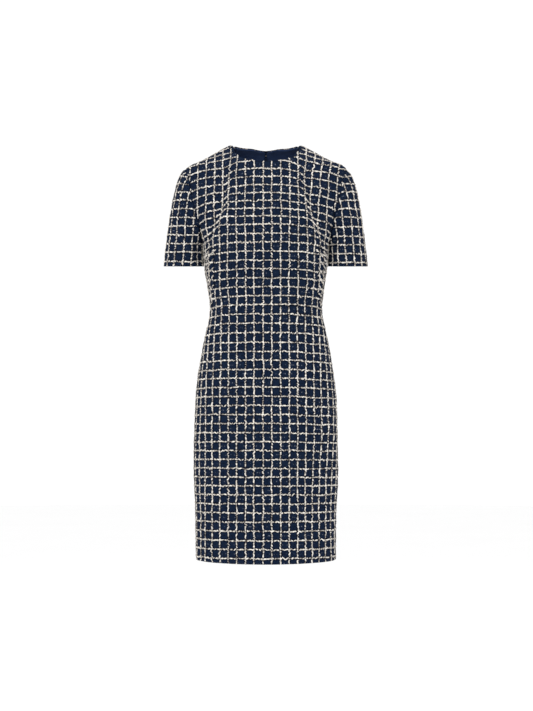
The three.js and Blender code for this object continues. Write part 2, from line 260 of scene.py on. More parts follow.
def modify(piece: bpy.types.Object, name: str, kind: str, **settings: Any) -> None:
    """Gives a piece a modifier of this kind, with these settings."""
    modifier = piece.modifiers.new(name, kind)
    for setting, value in settings.items():
        setattr(modifier, setting, value)


# --- Shader nodes ---------------------------------------------------


class Stripe(NamedTuple):
    """A stripe to both sides of a line: how far out it starts to fade and ends, and its strength."""

    full: float
    end: float
    strength: float = 1.0


class Value:
    """An output socket of a material's node, with Python's operators on numbers."""

    def __init__(self, tree: "NodeTree", socket: bpy.types.NodeSocket) -> None:
        """Wraps a socket of the tree."""
        self.tree = tree
        self.socket = socket

    def maths(self, operation: str, *values: Any) -> "Value":
        """Adds a Math node on these values."""
        return self.tree.node("ShaderNodeMath", {"operation": operation}, dict(enumerate(values)))

    def __add__(self, other: Any) -> "Value":
        """self + other."""
        return self.maths("ADD", self, other)

    __radd__ = __add__

    def __sub__(self, other: Any) -> "Value":
        """self - other."""
        return self.maths("SUBTRACT", self, other)

    def __rsub__(self, other: Any) -> "Value":
        """other - self."""
        return self.maths("SUBTRACT", other, self)

    def __mul__(self, other: Any) -> "Value":
        """self * other."""
        return self.maths("MULTIPLY", self, other)

    __rmul__ = __mul__

    def sine(self) -> "Value":
        """The sine of self."""
        return self.maths("SINE", self)

    def step(self, start: float, end: float) -> "Value":
        """Rises softly from 0 where self is start to 1 where it is end."""
        settings = {"interpolation_type": "SMOOTHSTEP"}
        return self.tree.node("ShaderNodeMapRange", settings, {0: self, 1: start, 2: end})

    def least(self, other: "Value") -> "Value":
        """The lesser of self and other."""
        return self.maths("MINIMUM", self, other)

    def distance_to_line(self, lines: Lines) -> "Value":
        """How far self is from the nearest of these lines."""
        return self.maths("PINGPONG", self - lines.first, lines.pitch / 2)

    def stripe(self, stripe: Stripe) -> "Value":
        """The strength of a stripe, where self is the distance from its line."""
        return (1.0 - self.step(stripe.full, stripe.end)) * stripe.strength


Input = Union[Value, float, Sequence[float]]


class Patches(NamedTuple):
    """Soft patches of noise: its features to a metre, where they start and are full, and its detail."""

    grain: float
    start: float
    full: float
    detail: float = 2.0


class NodeTree:
    """The node tree of a new material."""

    def __init__(self, name: str) -> None:
        """Makes the material and clears its nodes."""
        self.material = bpy.data.materials.new(name)
        self.material.use_nodes = True
        self.tree = self.material.node_tree
        self.tree.nodes.clear()

    def add(
        self, kind: str, settings: Mapping[str, Any], inputs: Mapping[Union[str, int], Input]
    ) -> bpy.types.Node:
        """Adds a node.

        Args:
            kind: The node's type.
            settings: Its properties, and as "stops" a ramp's places and colours.
            inputs: What its sockets hold or are linked to, by name or number.

        Returns:
            The node.
        """
        made = self.tree.nodes.new(kind)
        for name, setting in settings.items():
            if name == "stops":
                self._set_stops(made.color_ramp, setting)
            else:
                setattr(made, name, setting)
        for name, held in inputs.items():
            socket = made.inputs[name]
            if isinstance(held, Value):
                self.tree.links.new(held.socket, socket)
            elif socket.type == "RGBA":
                socket.default_value = (*held, 1.0)
            else:
                socket.default_value = held
        return made

    def node(
        self,
        kind: str,
        settings: Mapping[str, Any],
        inputs: Mapping[Union[str, int], Input],
        output: Union[str, int] = 0,
    ) -> Value:
        """Adds a node as add does, and gives its output socket of this name or number."""
        return Value(self, self.add(kind, settings, inputs).outputs[output])

    @staticmethod
    def _set_stops(ramp: bpy.types.ColorRamp, stops: Sequence[tuple[float, Colour]]) -> None:
        """Gives a ramp its stops, which replace its two first ones."""
        while len(ramp.elements) < len(stops):
            ramp.elements.new(1.0)
        for element, (place, colour) in zip(ramp.elements, stops):
            element.position = place
            element.color = (*colour, 1.0)

    def noise(self, where: Value, grain: float, detail: float = 2.0) -> Value:
        """Adds noise with this many features to a metre, and this detail."""
        inputs = {"Vector": where, "Scale": grain, "Detail": detail}
        return self.node("ShaderNodeTexNoise", {}, inputs, "Fac")

    def patches(self, where: Value, patches: Patches) -> Value:
        """Goes from 0 between the patches to 1 in them."""
        return self.noise(where, patches.grain, patches.detail).step(patches.start, patches.full)

    def blend(self, start: Input, end: Input, part: Input) -> Value:
        """Mixes two colours."""
        settings = {"data_type": "RGBA"}
        return self.node("ShaderNodeMix", settings, {0: part, 6: start, 7: end}, 2)

    def ramp(self, part: Value, *stops: tuple[float, Colour]) -> Value:
        """Turns a number into a colour."""
        return self.node("ShaderNodeValToRGB", {"stops": stops}, {0: part})

    def place(self) -> Value:
        """The place in the object, in metres."""
        return self.node("ShaderNodeTexCoord", {}, {}, "Object")

    def part(self, vector: Value, axis: str) -> Value:
        """One number of a vector."""
        return self.node("ShaderNodeSeparateXYZ", {}, {0: vector}, axis)

    def across_and_along(self) -> tuple[Value, Value, Value]:
        """The place on the flat cloth: as a vector, across the warp, and along it, in metres."""
        place = self.node("ShaderNodeUVMap", {"uv_map": CLOTH_MAP}, {})
        return place, self.part(place, "X"), self.part(place, "Y")

    def bumps(self, height: Value, depth: float) -> Value:
        """A normal that follows this height, where 1 stands for the depth."""
        return self.node("ShaderNodeBump", {}, {"Height": height, "Distance": depth, "Strength": 1.0})

    def finish(self, **inputs: Input) -> bpy.types.Material:
        """Ends the tree in a Principled shader whose sockets are named with underscores for spaces."""
        sockets = {name.replace("_", " "): held for name, held in inputs.items()}
        shader = self.node("ShaderNodeBsdfPrincipled", {}, sockets)
        self.add("ShaderNodeOutputMaterial", {}, {"Surface": shader})
        return self.material


# --- Finishes -------------------------------------------------------


@dataclass(frozen=True)
class Check:
    """The windowpane check, as places of its lines on the flat cloth."""

    warp: Lines = Lines(19.9 * MM, 13.3 * MM)  # counted from the centre line to the wearer's left
    weft: Lines = Lines(20.6 * MM, 13.0 * MM)  # counted up from the hem


@dataclass(frozen=True)
class TweedGround:
    """The navy ground between the yarns: a coarse, uneven plain weave with pale flecks, its pores painted
    dark as shade and its raised threads painted light.

    A grain is how many features of a noise lie in a metre.
    """

    check: Check
    thread: float = 1.75 * MM  # one thread of the weave
    wobble: float = 2.2 * MM  # how far a thread strays
    wobble_grain: float = 260.0
    navy: Colour = (0.0062, 0.0129, 0.0316)
    soft: Colour = (0.0096, 0.0191, 0.0433)  # painted light on the raised threads, and the colour of random clouds
    raised: Range = (0.1, 0.9)
    raised_light_strength: float = 0.4
    clouds: Patches = Patches(38.0, 0.35, 0.75, 3.0)
    cloud_strength: float = 0.5
    # the darkest navy: painted shade beside the yarns, and the dark hidden thread midway
    deep: Colour = (0.0018, 0.0032, 0.0085)
    shade_beside_yarn: Stripe = Stripe(2.0 * MM, 4.4 * MM, 0.78)  # painted shade beside each yarn, with the dark binding threads there
    hidden: Stripe = Stripe(0.6 * MM, 1.8 * MM, 0.85)  # the dark thread midway between two yarns
    hidden_patches: Patches = Patches(240.0, 0.5, 0.6)
    fleck: Colour = (0.2, 0.22, 0.27)
    fleck_row: Stripe = Stripe(0.7 * MM, 1.6 * MM, 0.8)  # the flecks lie midway between two wefts
    fleck_rows: Patches = Patches(45.0, 0.47, 0.55)
    flecks: Patches = Patches(300.0, 0.58, 0.66, 1.0)
    weave_relief: float = 0.5
    fuzz_relief: float = 0.8
    fuzz_grain: float = 1500.0
    fuzz_detail: float = 3.0
    relief: float = 0.5 * MM
    float_colour: Colour = (0.42, 0.37, 0.3)  # the yarns on the wrong side
    float_line: Stripe = Stripe(1.1 * MM, 1.9 * MM)
    float_waver: float = 2.0 * MM
    float_grain: float = 120.0
    float_patches: Patches = Patches(300.0, 0.34, 0.5)
    reverse_relief: float = 0.4 * MM

    def _weave(self, tree: NodeTree, place: Value, across: Value, along: Value) -> Value:
        """The weave's height, from -1 in a pore to 1 on a thread."""
        wobble = tree.noise(place, self.wobble_grain) * self.wobble
        turn = math.pi / self.thread
        return ((across + wobble) * turn).sine() * ((along - wobble) * turn).sine()

    def _colour(
        self, tree: NodeTree, place: Value, across: Value, along: Value, height: Value
    ) -> Value:
        """The ground's colour: navy, with painted light on its raised threads, painted shade and dark
        binding threads beside the yarns, and pale flecks of a hidden thread.

        Args:
            tree: The material's nodes.
            place: The point on the flat cloth.
            across, along: Its two parts.
            height: The weave's height.

        Returns:
            The colour.
        """
        warp, weft = self.check.warp, self.check.weft
        beside = across.distance_to_line(warp).least(along.distance_to_line(weft))
        mid_weft = along.distance_to_line(weft.midway())
        midway = across.distance_to_line(warp.midway()).least(mid_weft)
        clouds = tree.patches(place, self.clouds) * self.cloud_strength
        # painted light and shade: the raised threads lighter and the pores darker
        raised = height.step(*self.raised) * self.raised_light_strength
        base = tree.blend(self.navy, self.soft, clouds + raised)
        # painted shade: the ground darkens beside each yarn, where the yarn would shade it
        shade_beside_yarn = tree.blend(base, self.deep, beside.stripe(self.shade_beside_yarn))
        hidden = midway.stripe(self.hidden) * tree.patches(place, self.hidden_patches)
        dark = tree.blend(shade_beside_yarn, self.deep, hidden)
        rows = mid_weft.stripe(self.fleck_row) * tree.patches(place, self.fleck_rows)
        return tree.blend(dark, self.fleck, rows * tree.patches(place, self.flecks))

    def outside(self) -> bpy.types.Material:
        """The right side of the cloth, with painted shade and dark binding threads beside the check's
        yarns.
        """
        tree = NodeTree("tweed_ground")
        place, across, along = tree.across_and_along()
        height = self._weave(tree, place, across, along)
        fuzz = tree.noise(tree.place(), self.fuzz_grain, self.fuzz_detail)
        return tree.finish(
            Base_Color=self._colour(tree, place, across, along, height),
            Roughness=0.95,
            Sheen_Weight=0.012,
            Sheen_Roughness=0.5,
            Sheen_Tint=(0.55, 0.62, 0.8),
            Specular_IOR_Level=0.03,
            Normal=tree.bumps(height * self.weave_relief + fuzz * self.fuzz_relief, self.relief),
        )

    def inside(self) -> bpy.types.Material:
        """The wrong side of the cloth, where the check's yarns float flat in the weave."""
        tree = NodeTree("tweed_reverse")
        place, across, along = tree.across_and_along()
        height = self._weave(tree, place, across, along)
        ground = self._colour(tree, place, across, along, height)
        waver = (tree.noise(place, self.float_grain) - 0.5) * self.float_waver
        warp = (across + waver).distance_to_line(self.check.warp)
        weft = (along + waver).distance_to_line(self.check.weft)
        line = warp.least(weft).stripe(self.float_line) * tree.patches(place, self.float_patches)
        return tree.finish(
            Base_Color=tree.blend(ground, self.float_colour, line),
            Roughness=0.94,
            Sheen_Weight=0.012,
            Specular_IOR_Level=0.03,
            Normal=tree.bumps(height * self.weave_relief, self.reverse_relief),
        )


@dataclass(frozen=True)
class BoucleYarn:
    """The check's yarn: ivory loops that thin to taupe, with brown-black binder in the gaps, and painted
    shade where it dips under a crossing strand.
    """

    stops: tuple[tuple[float, Colour], ...] = (
        (0.0, (0.012, 0.01, 0.012)),
        (0.25, (0.06, 0.048, 0.042)),
        (0.5, (0.225, 0.2, 0.182)),
        (0.75, (0.535, 0.497, 0.45)),
        (1.0, (0.885, 0.838, 0.77)),
    )
    mottle: float = 0.34  # how much the shade varies between the loops
    mottle_grain: float = 700.0
    fibre_grain: float = 2200.0
    relief: float = 0.5 * MM

    def material(self) -> bpy.types.Material:
        """The yarn's material, shaded along each strand by an attribute."""
        tree = NodeTree("boucle_yarn")
        place = tree.place()
        shade = tree.node("ShaderNodeAttribute", {"attribute_name": SHADE}, {}, "Fac")
        mottle = (tree.noise(place, self.mottle_grain) - 0.5) * self.mottle
        return tree.finish(
            Base_Color=tree.ramp(shade + mottle, *self.stops),
            Roughness=0.95,
            Sheen_Weight=0.05,
            Sheen_Roughness=0.6,
            Specular_IOR_Level=0.1,
            Normal=tree.bumps(tree.noise(place, self.fibre_grain), self.relief),
        )


@dataclass(frozen=True)
class SmoothLining:
    """The facing's smooth navy cloth, in a fine twill, with painted light and shade on its ribs."""

    name: str
    colour: Colour = (0.0115, 0.03, 0.092)
    # painted light on the twill's ribs, and the colour of random clouds
    light: Colour = (0.017, 0.038, 0.11)
    rib: float = 0.9 * MM
    rib_light_strength: float = 0.4
    cloud_grain: float = 45.0
    cloud_strength: float = 0.5
    fibre_grain: float = 900.0
    relief: float = 0.08 * MM

    def material(self) -> bpy.types.Material:
        """The cloth's material."""
        tree = NodeTree(self.name)
        place = tree.place()
        diagonal = tree.part(place, "X") + tree.part(place, "Z")
        # painted light and shade: the twill's ribs lighter, the furrows between them darker
        twill = (diagonal * (2 * math.pi / self.rib)).sine() * 0.5 + 0.5
        clouds = tree.noise(place, self.cloud_grain) * self.cloud_strength
        return tree.finish(
            Base_Color=tree.blend(self.colour, self.light, twill * self.rib_light_strength + clouds),
            Roughness=0.62,
            Sheen_Weight=0.1,
            Specular_IOR_Level=0.3,
            Normal=tree.bumps(twill + tree.noise(place, self.fibre_grain), self.relief),
        )


@dataclass(frozen=True)
class EnamelledMetal:
    """The zip's slider and pull: navy enamel with small scuffs."""

    colour: Colour = (0.012, 0.02, 0.045)
    scuffed: Colour = (0.08, 0.085, 0.1)
    scuffs: Patches = Patches(900.0, 0.6, 0.72, 4.0)
    scuff_strength: float = 0.5
    roughness: Range = (0.25, 0.45)
    smear_grain: float = 300.0
    dent_grain: float = 500.0
    relief: float = 0.03 * MM

    def material(self) -> bpy.types.Material:
        """The metal's material."""
        tree = NodeTree("navy_enamel")
        place = tree.place()
        scuffs = tree.patches(place, self.scuffs) * self.scuff_strength
        return tree.finish(
            Base_Color=tree.blend(self.colour, self.scuffed, scuffs),
            Metallic=0.2,
            Roughness=mix(*self.roughness, tree.noise(place, self.smear_grain)),
            Normal=tree.bumps(tree.noise(place, self.dent_grain), self.relief),
        )


@dataclass(frozen=True)
class PaleFloor:
    """The studio's white floor."""

    colour: Colour = (0.93, 0.93, 0.93)
    lighter: Colour = (0.95, 0.95, 0.95)
    grain: float = 2.0

    def material(self) -> bpy.types.Material:
        """The floor's material."""
        tree = NodeTree("pale_floor")
        return tree.finish(
            Base_Color=tree.blend(self.colour, self.lighter, tree.noise(tree.place(), self.grain)),
            Roughness=0.9,
            Specular_IOR_Level=0.1,
        )


@dataclass(frozen=True)
class Finishes:
    """Every material of the dress."""

    tweed: bpy.types.Material
    tweed_reverse: bpy.types.Material
    yarn: bpy.types.Material
    facing: bpy.types.Material
    tape: bpy.types.Material
    enamel: bpy.types.Material

    @classmethod
    def mixed(cls, check: Check) -> "Finishes":
        """Makes the materials."""
        ground = TweedGround(check)
        return cls(
            tweed=ground.outside(),
            tweed_reverse=ground.inside(),
            yarn=BoucleYarn().material(),
            facing=SmoothLining("facing_cloth").material(),
            tape=SmoothLining("zip_tape_cloth", rib=0.6 * MM).material(),
            enamel=EnamelledMetal().material(),
        )


# --- The form of the body -------------------------------------------


class Section(NamedTuple):
    """A level oval of the body, in millimetres: its height, half its width, and its depths."""

    z: float
    half_width: float
    front: float
    back: float


SECTIONS = (
    Section(0, 78.5, 25, 46),
    Section(-4, 90, 28.5, 51.5),
    Section(-11.5, 105.5, 34, 59.5),
    Section(-25, 129, 44.5, 68),
    Section(-38, 152, 55, 74),
    Section(-60, 192, 69.5, 81),
    Section(-85, 194.5, 79, 88),
    Section(-110, 194, 88, 94),
    Section(-139, 189, 98, 98.5),
    Section(-176, 172, 110, 100.5),
    Section(-205, 160, 117, 99.5),
    Section(-245, 148, 122, 97),
    Section(-270, 146, 119.5, 93),
    Section(-299, 143.5, 109, 88),
    Section(-327, 139, 99.5, 84),
    Section(-355, 134.5, 92, 80.5),
    Section(-388, 131, 88.5, 79),
    Section(-412, 133, 89.5, 83),
    Section(-440, 139.5, 93, 91),
    Section(-496, 150.5, 98.5, 104),
    Section(-552, 159, 102.5, 114),
    Section(-609, 164.5, 104, 119),
    Section(-721, 168, 104, 113.5),
    Section(-768, 168.5, 103, 110),
    Section(-871, 163.5, 100, 103),
    Section(-978, 161.5, 97, 98),
)


class Profile:
    """A smooth curve through the sections' column that never overshoots a row."""

    def __init__(self, column: str) -> None:
        """Works out the curve's slopes at the sections."""
        rows = SECTIONS[::-1]
        self.heights = np.array([row.z for row in rows]) * MM
        self.values = np.array([getattr(row, column) for row in rows]) * MM
        slopes = np.diff(self.values) / np.diff(self.heights)
        before, after = slopes[:-1], slopes[1:]
        turning = before * after <= 0
        total = np.where(turning, 1.0, before + after)
        inner = np.where(turning, 0.0, 2 * before * after / total)
        self.tangents = np.concatenate([slopes[:1], inner, slopes[-1:]])

    def __call__(self, z: np.ndarray) -> np.ndarray:
        """The column's value at each height."""
        z = np.clip(z, self.heights[0], self.heights[-1])
        i = np.clip(np.searchsorted(self.heights, z, side="right") - 1, 0, len(self.heights) - 2)
        span = self.heights[i + 1] - self.heights[i]
        part = (z - self.heights[i]) / span
        slope, next_slope = self.tangents[i] * span, self.tangents[i + 1] * span
        return hermite(self.values[i], slope, self.values[i + 1], next_slope, part)


@dataclass
class BodyForm:
    """The outer surface of the body of the dress, and the lines that its pieces are cut on."""

    hem_z: float = -978 * MM
    hem_side_lift: float = 4 * MM
    neck_half_width: float = 78.5 * MM
    front_neck_drop: float = 51 * MM
    back_neck_drop: float = 1.5 * MM
    neck_squareness: float = 2.5
    shoulder_tip_z: float = -60 * MM
    underarm_z: float = -243 * MM
    armhole_half_depth: float = 50 * MM
    back_neck_stand: float = 3.5 * MM  # the collar edge stands up beside the centre back
    back_neck_band: Band = Band(0.05, 0.5, 0.86, 1.0)  # there, as parts of the neck's half width
    ovalness: float = 2.3
    half_width: Profile = field(default_factory=lambda: Profile("half_width"))
    front: Profile = field(default_factory=lambda: Profile("front"))
    back: Profile = field(default_factory=lambda: Profile("back"))
    shoulder_samples: int = 400
    slope_step: float = 0.25 * MM  # a small distance, to find which way is out

    @property
    def tip_half_width(self) -> float:
        """Half the body's width at the tips of the shoulders."""
        return float(self.half_width(np.array(self.shoulder_tip_z)))

    def depth(self, z: np.ndarray, face: Face) -> np.ndarray:
        """How far the surface stands from the middle at each height."""
        return self.front(z) if face is Face.FRONT else self.back(z)

    def points(self, x: np.ndarray, z: np.ndarray, face: Face) -> np.ndarray:
        """The surface's points at these places across and up."""
        across = np.minimum(1.0, np.abs(x) / self.half_width(z))
        y = face.value * self.depth(z, face) * (1 - across**self.ovalness) ** (1 / self.ovalness)
        return np.stack([x, y, np.broadcast_to(z, x.shape)], axis=-1)

    def normals(self, points: np.ndarray, face: Face) -> np.ndarray:
        """The outward directions there, from the slope of the oval's formula."""
        step = self.slope_step
        x, y = points[..., 0], points[..., 1]
        z = np.minimum(points[..., 2], -2 * step)

        def oval(x: np.ndarray, y: np.ndarray, z: np.ndarray) -> np.ndarray:
            """The oval's formula, which is 1 on the surface."""
            across = np.abs(x) / self.half_width(z)
            return across**self.ovalness + (np.abs(y) / self.depth(z, face)) ** self.ovalness

        slopes = [
            oval(x + step, y, z) - oval(x - step, y, z),
            oval(x, y + step, z) - oval(x, y - step, z),
            oval(x, y, z + step) - oval(x, y, z - step),
        ]
        return unit(np.stack(slopes, axis=-1))

    def shoulder_z(self, x: np.ndarray) -> np.ndarray:
        """The height of the shoulder seam at these distances from the centre."""
        heights = np.linspace(self.shoulder_tip_z, 0.0, self.shoulder_samples)
        return np.interp(-np.abs(x), -self.half_width(heights), heights)

    def top_edge_z(self, x: np.ndarray, face: Face) -> np.ndarray:
        """The upper edge of a front or back: neckline, then shoulder seam."""
        drop = self.front_neck_drop if face is Face.FRONT else self.back_neck_drop
        across = np.minimum(1.0, np.abs(x) / self.neck_half_width)
        neckline = -drop * (1 - across**self.neck_squareness) ** (1 / self.neck_squareness)
        if face is Face.BACK:
            neckline += self.back_neck_stand * self.back_neck_band.at(across)
        return np.where(np.abs(x) < self.neck_half_width, neckline, self.shoulder_z(x))

    def armhole(self, angle: np.ndarray) -> np.ndarray:
        """The armhole's edge on the left: 0 is the shoulder tip, a quarter turn the front."""
        middle = (self.shoulder_tip_z + self.underarm_z) / 2
        half_height = (self.shoulder_tip_z - self.underarm_z) / 2
        y = -self.armhole_half_depth * np.sin(angle)
        z = middle + half_height * np.cos(angle)
        depth = np.where(y < 0, self.front(z), self.back(z))
        x = self.half_width(z) * (1 - (np.abs(y) / depth) ** self.ovalness) ** (1 / self.ovalness)
        return np.stack([x, y, z], axis=-1)

    def armhole_normals(self, points: np.ndarray) -> np.ndarray:
        """The body's outward directions on the armhole's edge."""
        ahead = points[..., 1:2] < 0
        return np.where(ahead, self.normals(points, Face.FRONT), self.normals(points, Face.BACK))


# --- Cloth ----------------------------------------------------------


@dataclass
class Cloth:
    """A piece of cloth as a grid of points, rows from its lower edge up and columns across.

    across and along are each point's place on the flat cloth. Points whose zone differs lie on two
    sides of a dart, so no yarn runs from one to the other.
    """

    points: np.ndarray
    normals: np.ndarray
    across: np.ndarray
    along: np.ndarray
    zone: np.ndarray
    merged: ClassVar[float] = 0.01 * MM  # points that lie closer than this are made one
    rim: ClassVar[float] = 0.32  # how wide the wall's edges are rounded, as a part of its thickness
    rim_angle: ClassVar[float] = math.radians(60)

    def moved_in(self, depth: Any) -> "Cloth":
        """The same grid, this far inside."""
        depths = np.broadcast_to(depth, self.points.shape[:2])[..., None]
        points = self.points - self.normals * depths
        return Cloth(points, self.normals, self.across, self.along, self.zone)

    def part(self, rows: slice, columns: slice) -> "Cloth":
        """A stretch of the grid."""
        held = (self.points, self.normals, self.across, self.along, self.zone)
        return Cloth(*(values[rows, columns].copy() for values in held))

    def flat_size(self) -> tuple[float, float, float]:
        """The width and length of the flat piece, and its area."""
        width = float(np.ptp(self.across))
        length = float(np.ptp(self.along))
        down, right = np.diff(self.points, axis=0), np.diff(self.points, axis=1)
        cells = np.linalg.norm(np.cross(down[:, :-1], right[:-1]), axis=-1)
        return width, length, float(cells.sum())

    def shell(self, name: str, thickness: float, closed: bool = False) -> bpy.types.Object:
        """Makes the piece as a wall whose outside is the grid.

        Args:
            name: The object's name.
            thickness: The wall's thickness, inwards.
            closed: Whether the last column meets the first, as round a sleeve.

        Returns:
            The object, with a UV map of the flat cloth in metres.
        """
        rows, columns = self.zone.shape
        built = bmesh.new()
        bmesh.ops.create_grid(built, x_segments=columns - 1, y_segments=rows - 1, size=1.0)
        built.verts.ensure_lookup_table()
        uv = built.loops.layers.uv.new(CLOTH_MAP)
        spots = np.stack([self.across, self.along], axis=-1).reshape(-1, 2)
        for vertex, place in zip(built.verts, self.points.reshape(-1, 3)):
            vertex.co = place
        for face in built.faces:
            face.smooth = True
            for loop in face.loops:
                loop[uv].uv = spots[loop.vert.index]
        if closed:
            bmesh.ops.remove_doubles(built, verts=built.verts, dist=self.merged)
        self._face_outwards(built)
        shell = meshed(name, built)
        wall = {"thickness": thickness, "offset": -1.0, "use_even_offset": False, "material_offset": 1}
        modify(shell, "wall", "SOLIDIFY", **wall)
        rim = {"width": thickness * self.rim, "segments": 2, "angle_limit": self.rim_angle}
        modify(shell, "soft edge", "BEVEL", limit_method="ANGLE", **rim)
        return shell

    def _face_outwards(self, built: bmesh.types.BMesh) -> None:
        """Turns the grid's faces to the side that its normals point to."""
        built.faces.ensure_lookup_table()
        inner = len(built.faces) // 2 + (self.zone.shape[1] - 1) // 3  # well away from its edges
        face = built.faces[inner]
        face.normal_update()
        nearest = np.linalg.norm(self.points - np.array(face.calc_center_median()), axis=-1).argmin()
        if face.normal.dot(Vector(self.normals.reshape(-1, 3)[nearest])) < 0:
            bmesh.ops.reverse_faces(built, faces=built.faces)


@dataclass(frozen=True)
class Fold:
    """A soft trough or ridge in the cloth along a line of points on its surface."""

    line: tuple[tuple[float, ...], ...]  # x and z on a panel, or x, y and z on a sleeve, in millimetres
    depth: float  # inwards, so a ridge is negative
    width: float
    sample: ClassVar[float] = 4 * MM  # from one point that is pressed to the next
    fewest: ClassVar[int] = 8
    ends: ClassVar[Range] = (0.06, 0.94)  # the part of half a sine wave that its strength follows
    fullness: ClassVar[float] = 0.8  # the power of that

    def press(self, cloth: Cloth, line: np.ndarray) -> None:
        """Presses the fold into the cloth.

        Args:
            cloth: The cloth, whose points are moved.
            line: The fold's line, as points on the cloth.
        """
        travelled = length_along(line)
        count = max(self.fewest, int(travelled[-1] / self.sample))
        samples = np.linspace(0.0, travelled[-1], count)
        reach = np.full(cloth.zone.shape, np.inf)
        strength = np.zeros(cloth.zone.shape)
        for spot, part in zip(read_along(line, travelled, samples), samples / travelled[-1]):
            away = np.linalg.norm(cloth.points - spot, axis=-1)
            nearer = away < reach
            reach = np.where(nearer, away, reach)
            here = math.sin(math.pi * mix(*self.ends, part)) ** self.fullness
            strength = np.where(nearer, here, strength)
        press = self.depth * strength * np.exp(-((reach / self.width) ** 2))
        cloth.points -= cloth.normals * press[..., None]


class Wave(NamedTuple):
    """A slow wave in hanging cloth.

    It has a share of the whole height, how fast it runs across and along the cloth, in radians to a
    metre, how far the piece's phase shifts it, and how much it bends.
    """

    share: float
    across: float
    along: float
    shift: float
    bend: float = 0.0


WAVES = (Wave(0.5, 43.0, 0.0, 1.0, 1.3), Wave(0.35, -24.0, 31.0, 2.1), Wave(0.3, 88.0, 17.0, 0.7))
WAVE_BEND = 9.0  # how fast the bend runs along the cloth, in radians to a metre
SEAM_DIP = 0.9 * MM
SEAM_DIP_REACH = 3.5 * MM


def undulate(cloth: Cloth, height: float, phase: float) -> None:
    """Gives the cloth the slight unevenness of a hanging garment.

    Args:
        cloth: The cloth, whose points are moved.
        height: How far it stands in and out.
        phase: Shifts the pattern, so that no two pieces are alike.
    """
    bend = np.sin(cloth.along * WAVE_BEND + phase)
    for wave in WAVES:
        turn = cloth.across * wave.across + cloth.along * wave.along + wave.shift * phase
        rise = height * wave.share * np.sin(turn + wave.bend * bend)
        cloth.points += cloth.normals * rise[..., None]


def dip_at_seams(cloth: Cloth) -> None:
    """Draws the cloth in along the seams at its two sides."""
    across = length_along(cloth.points, axis=1)
    away = np.minimum(across, across[:, -1:] - across)
    cloth.points -= cloth.normals * (SEAM_DIP * np.exp(-((away / SEAM_DIP_REACH) ** 2)))[..., None]


# --- The check's yarns ----------------------------------------------


@dataclass
class Strand:
    """One stretch of yarn: its points and the cloth's normals there.

    The phase counts its crossings. It passes over the other strand at the even ones.
    """

    points: np.ndarray
    normals: np.ndarray
    phase: np.ndarray


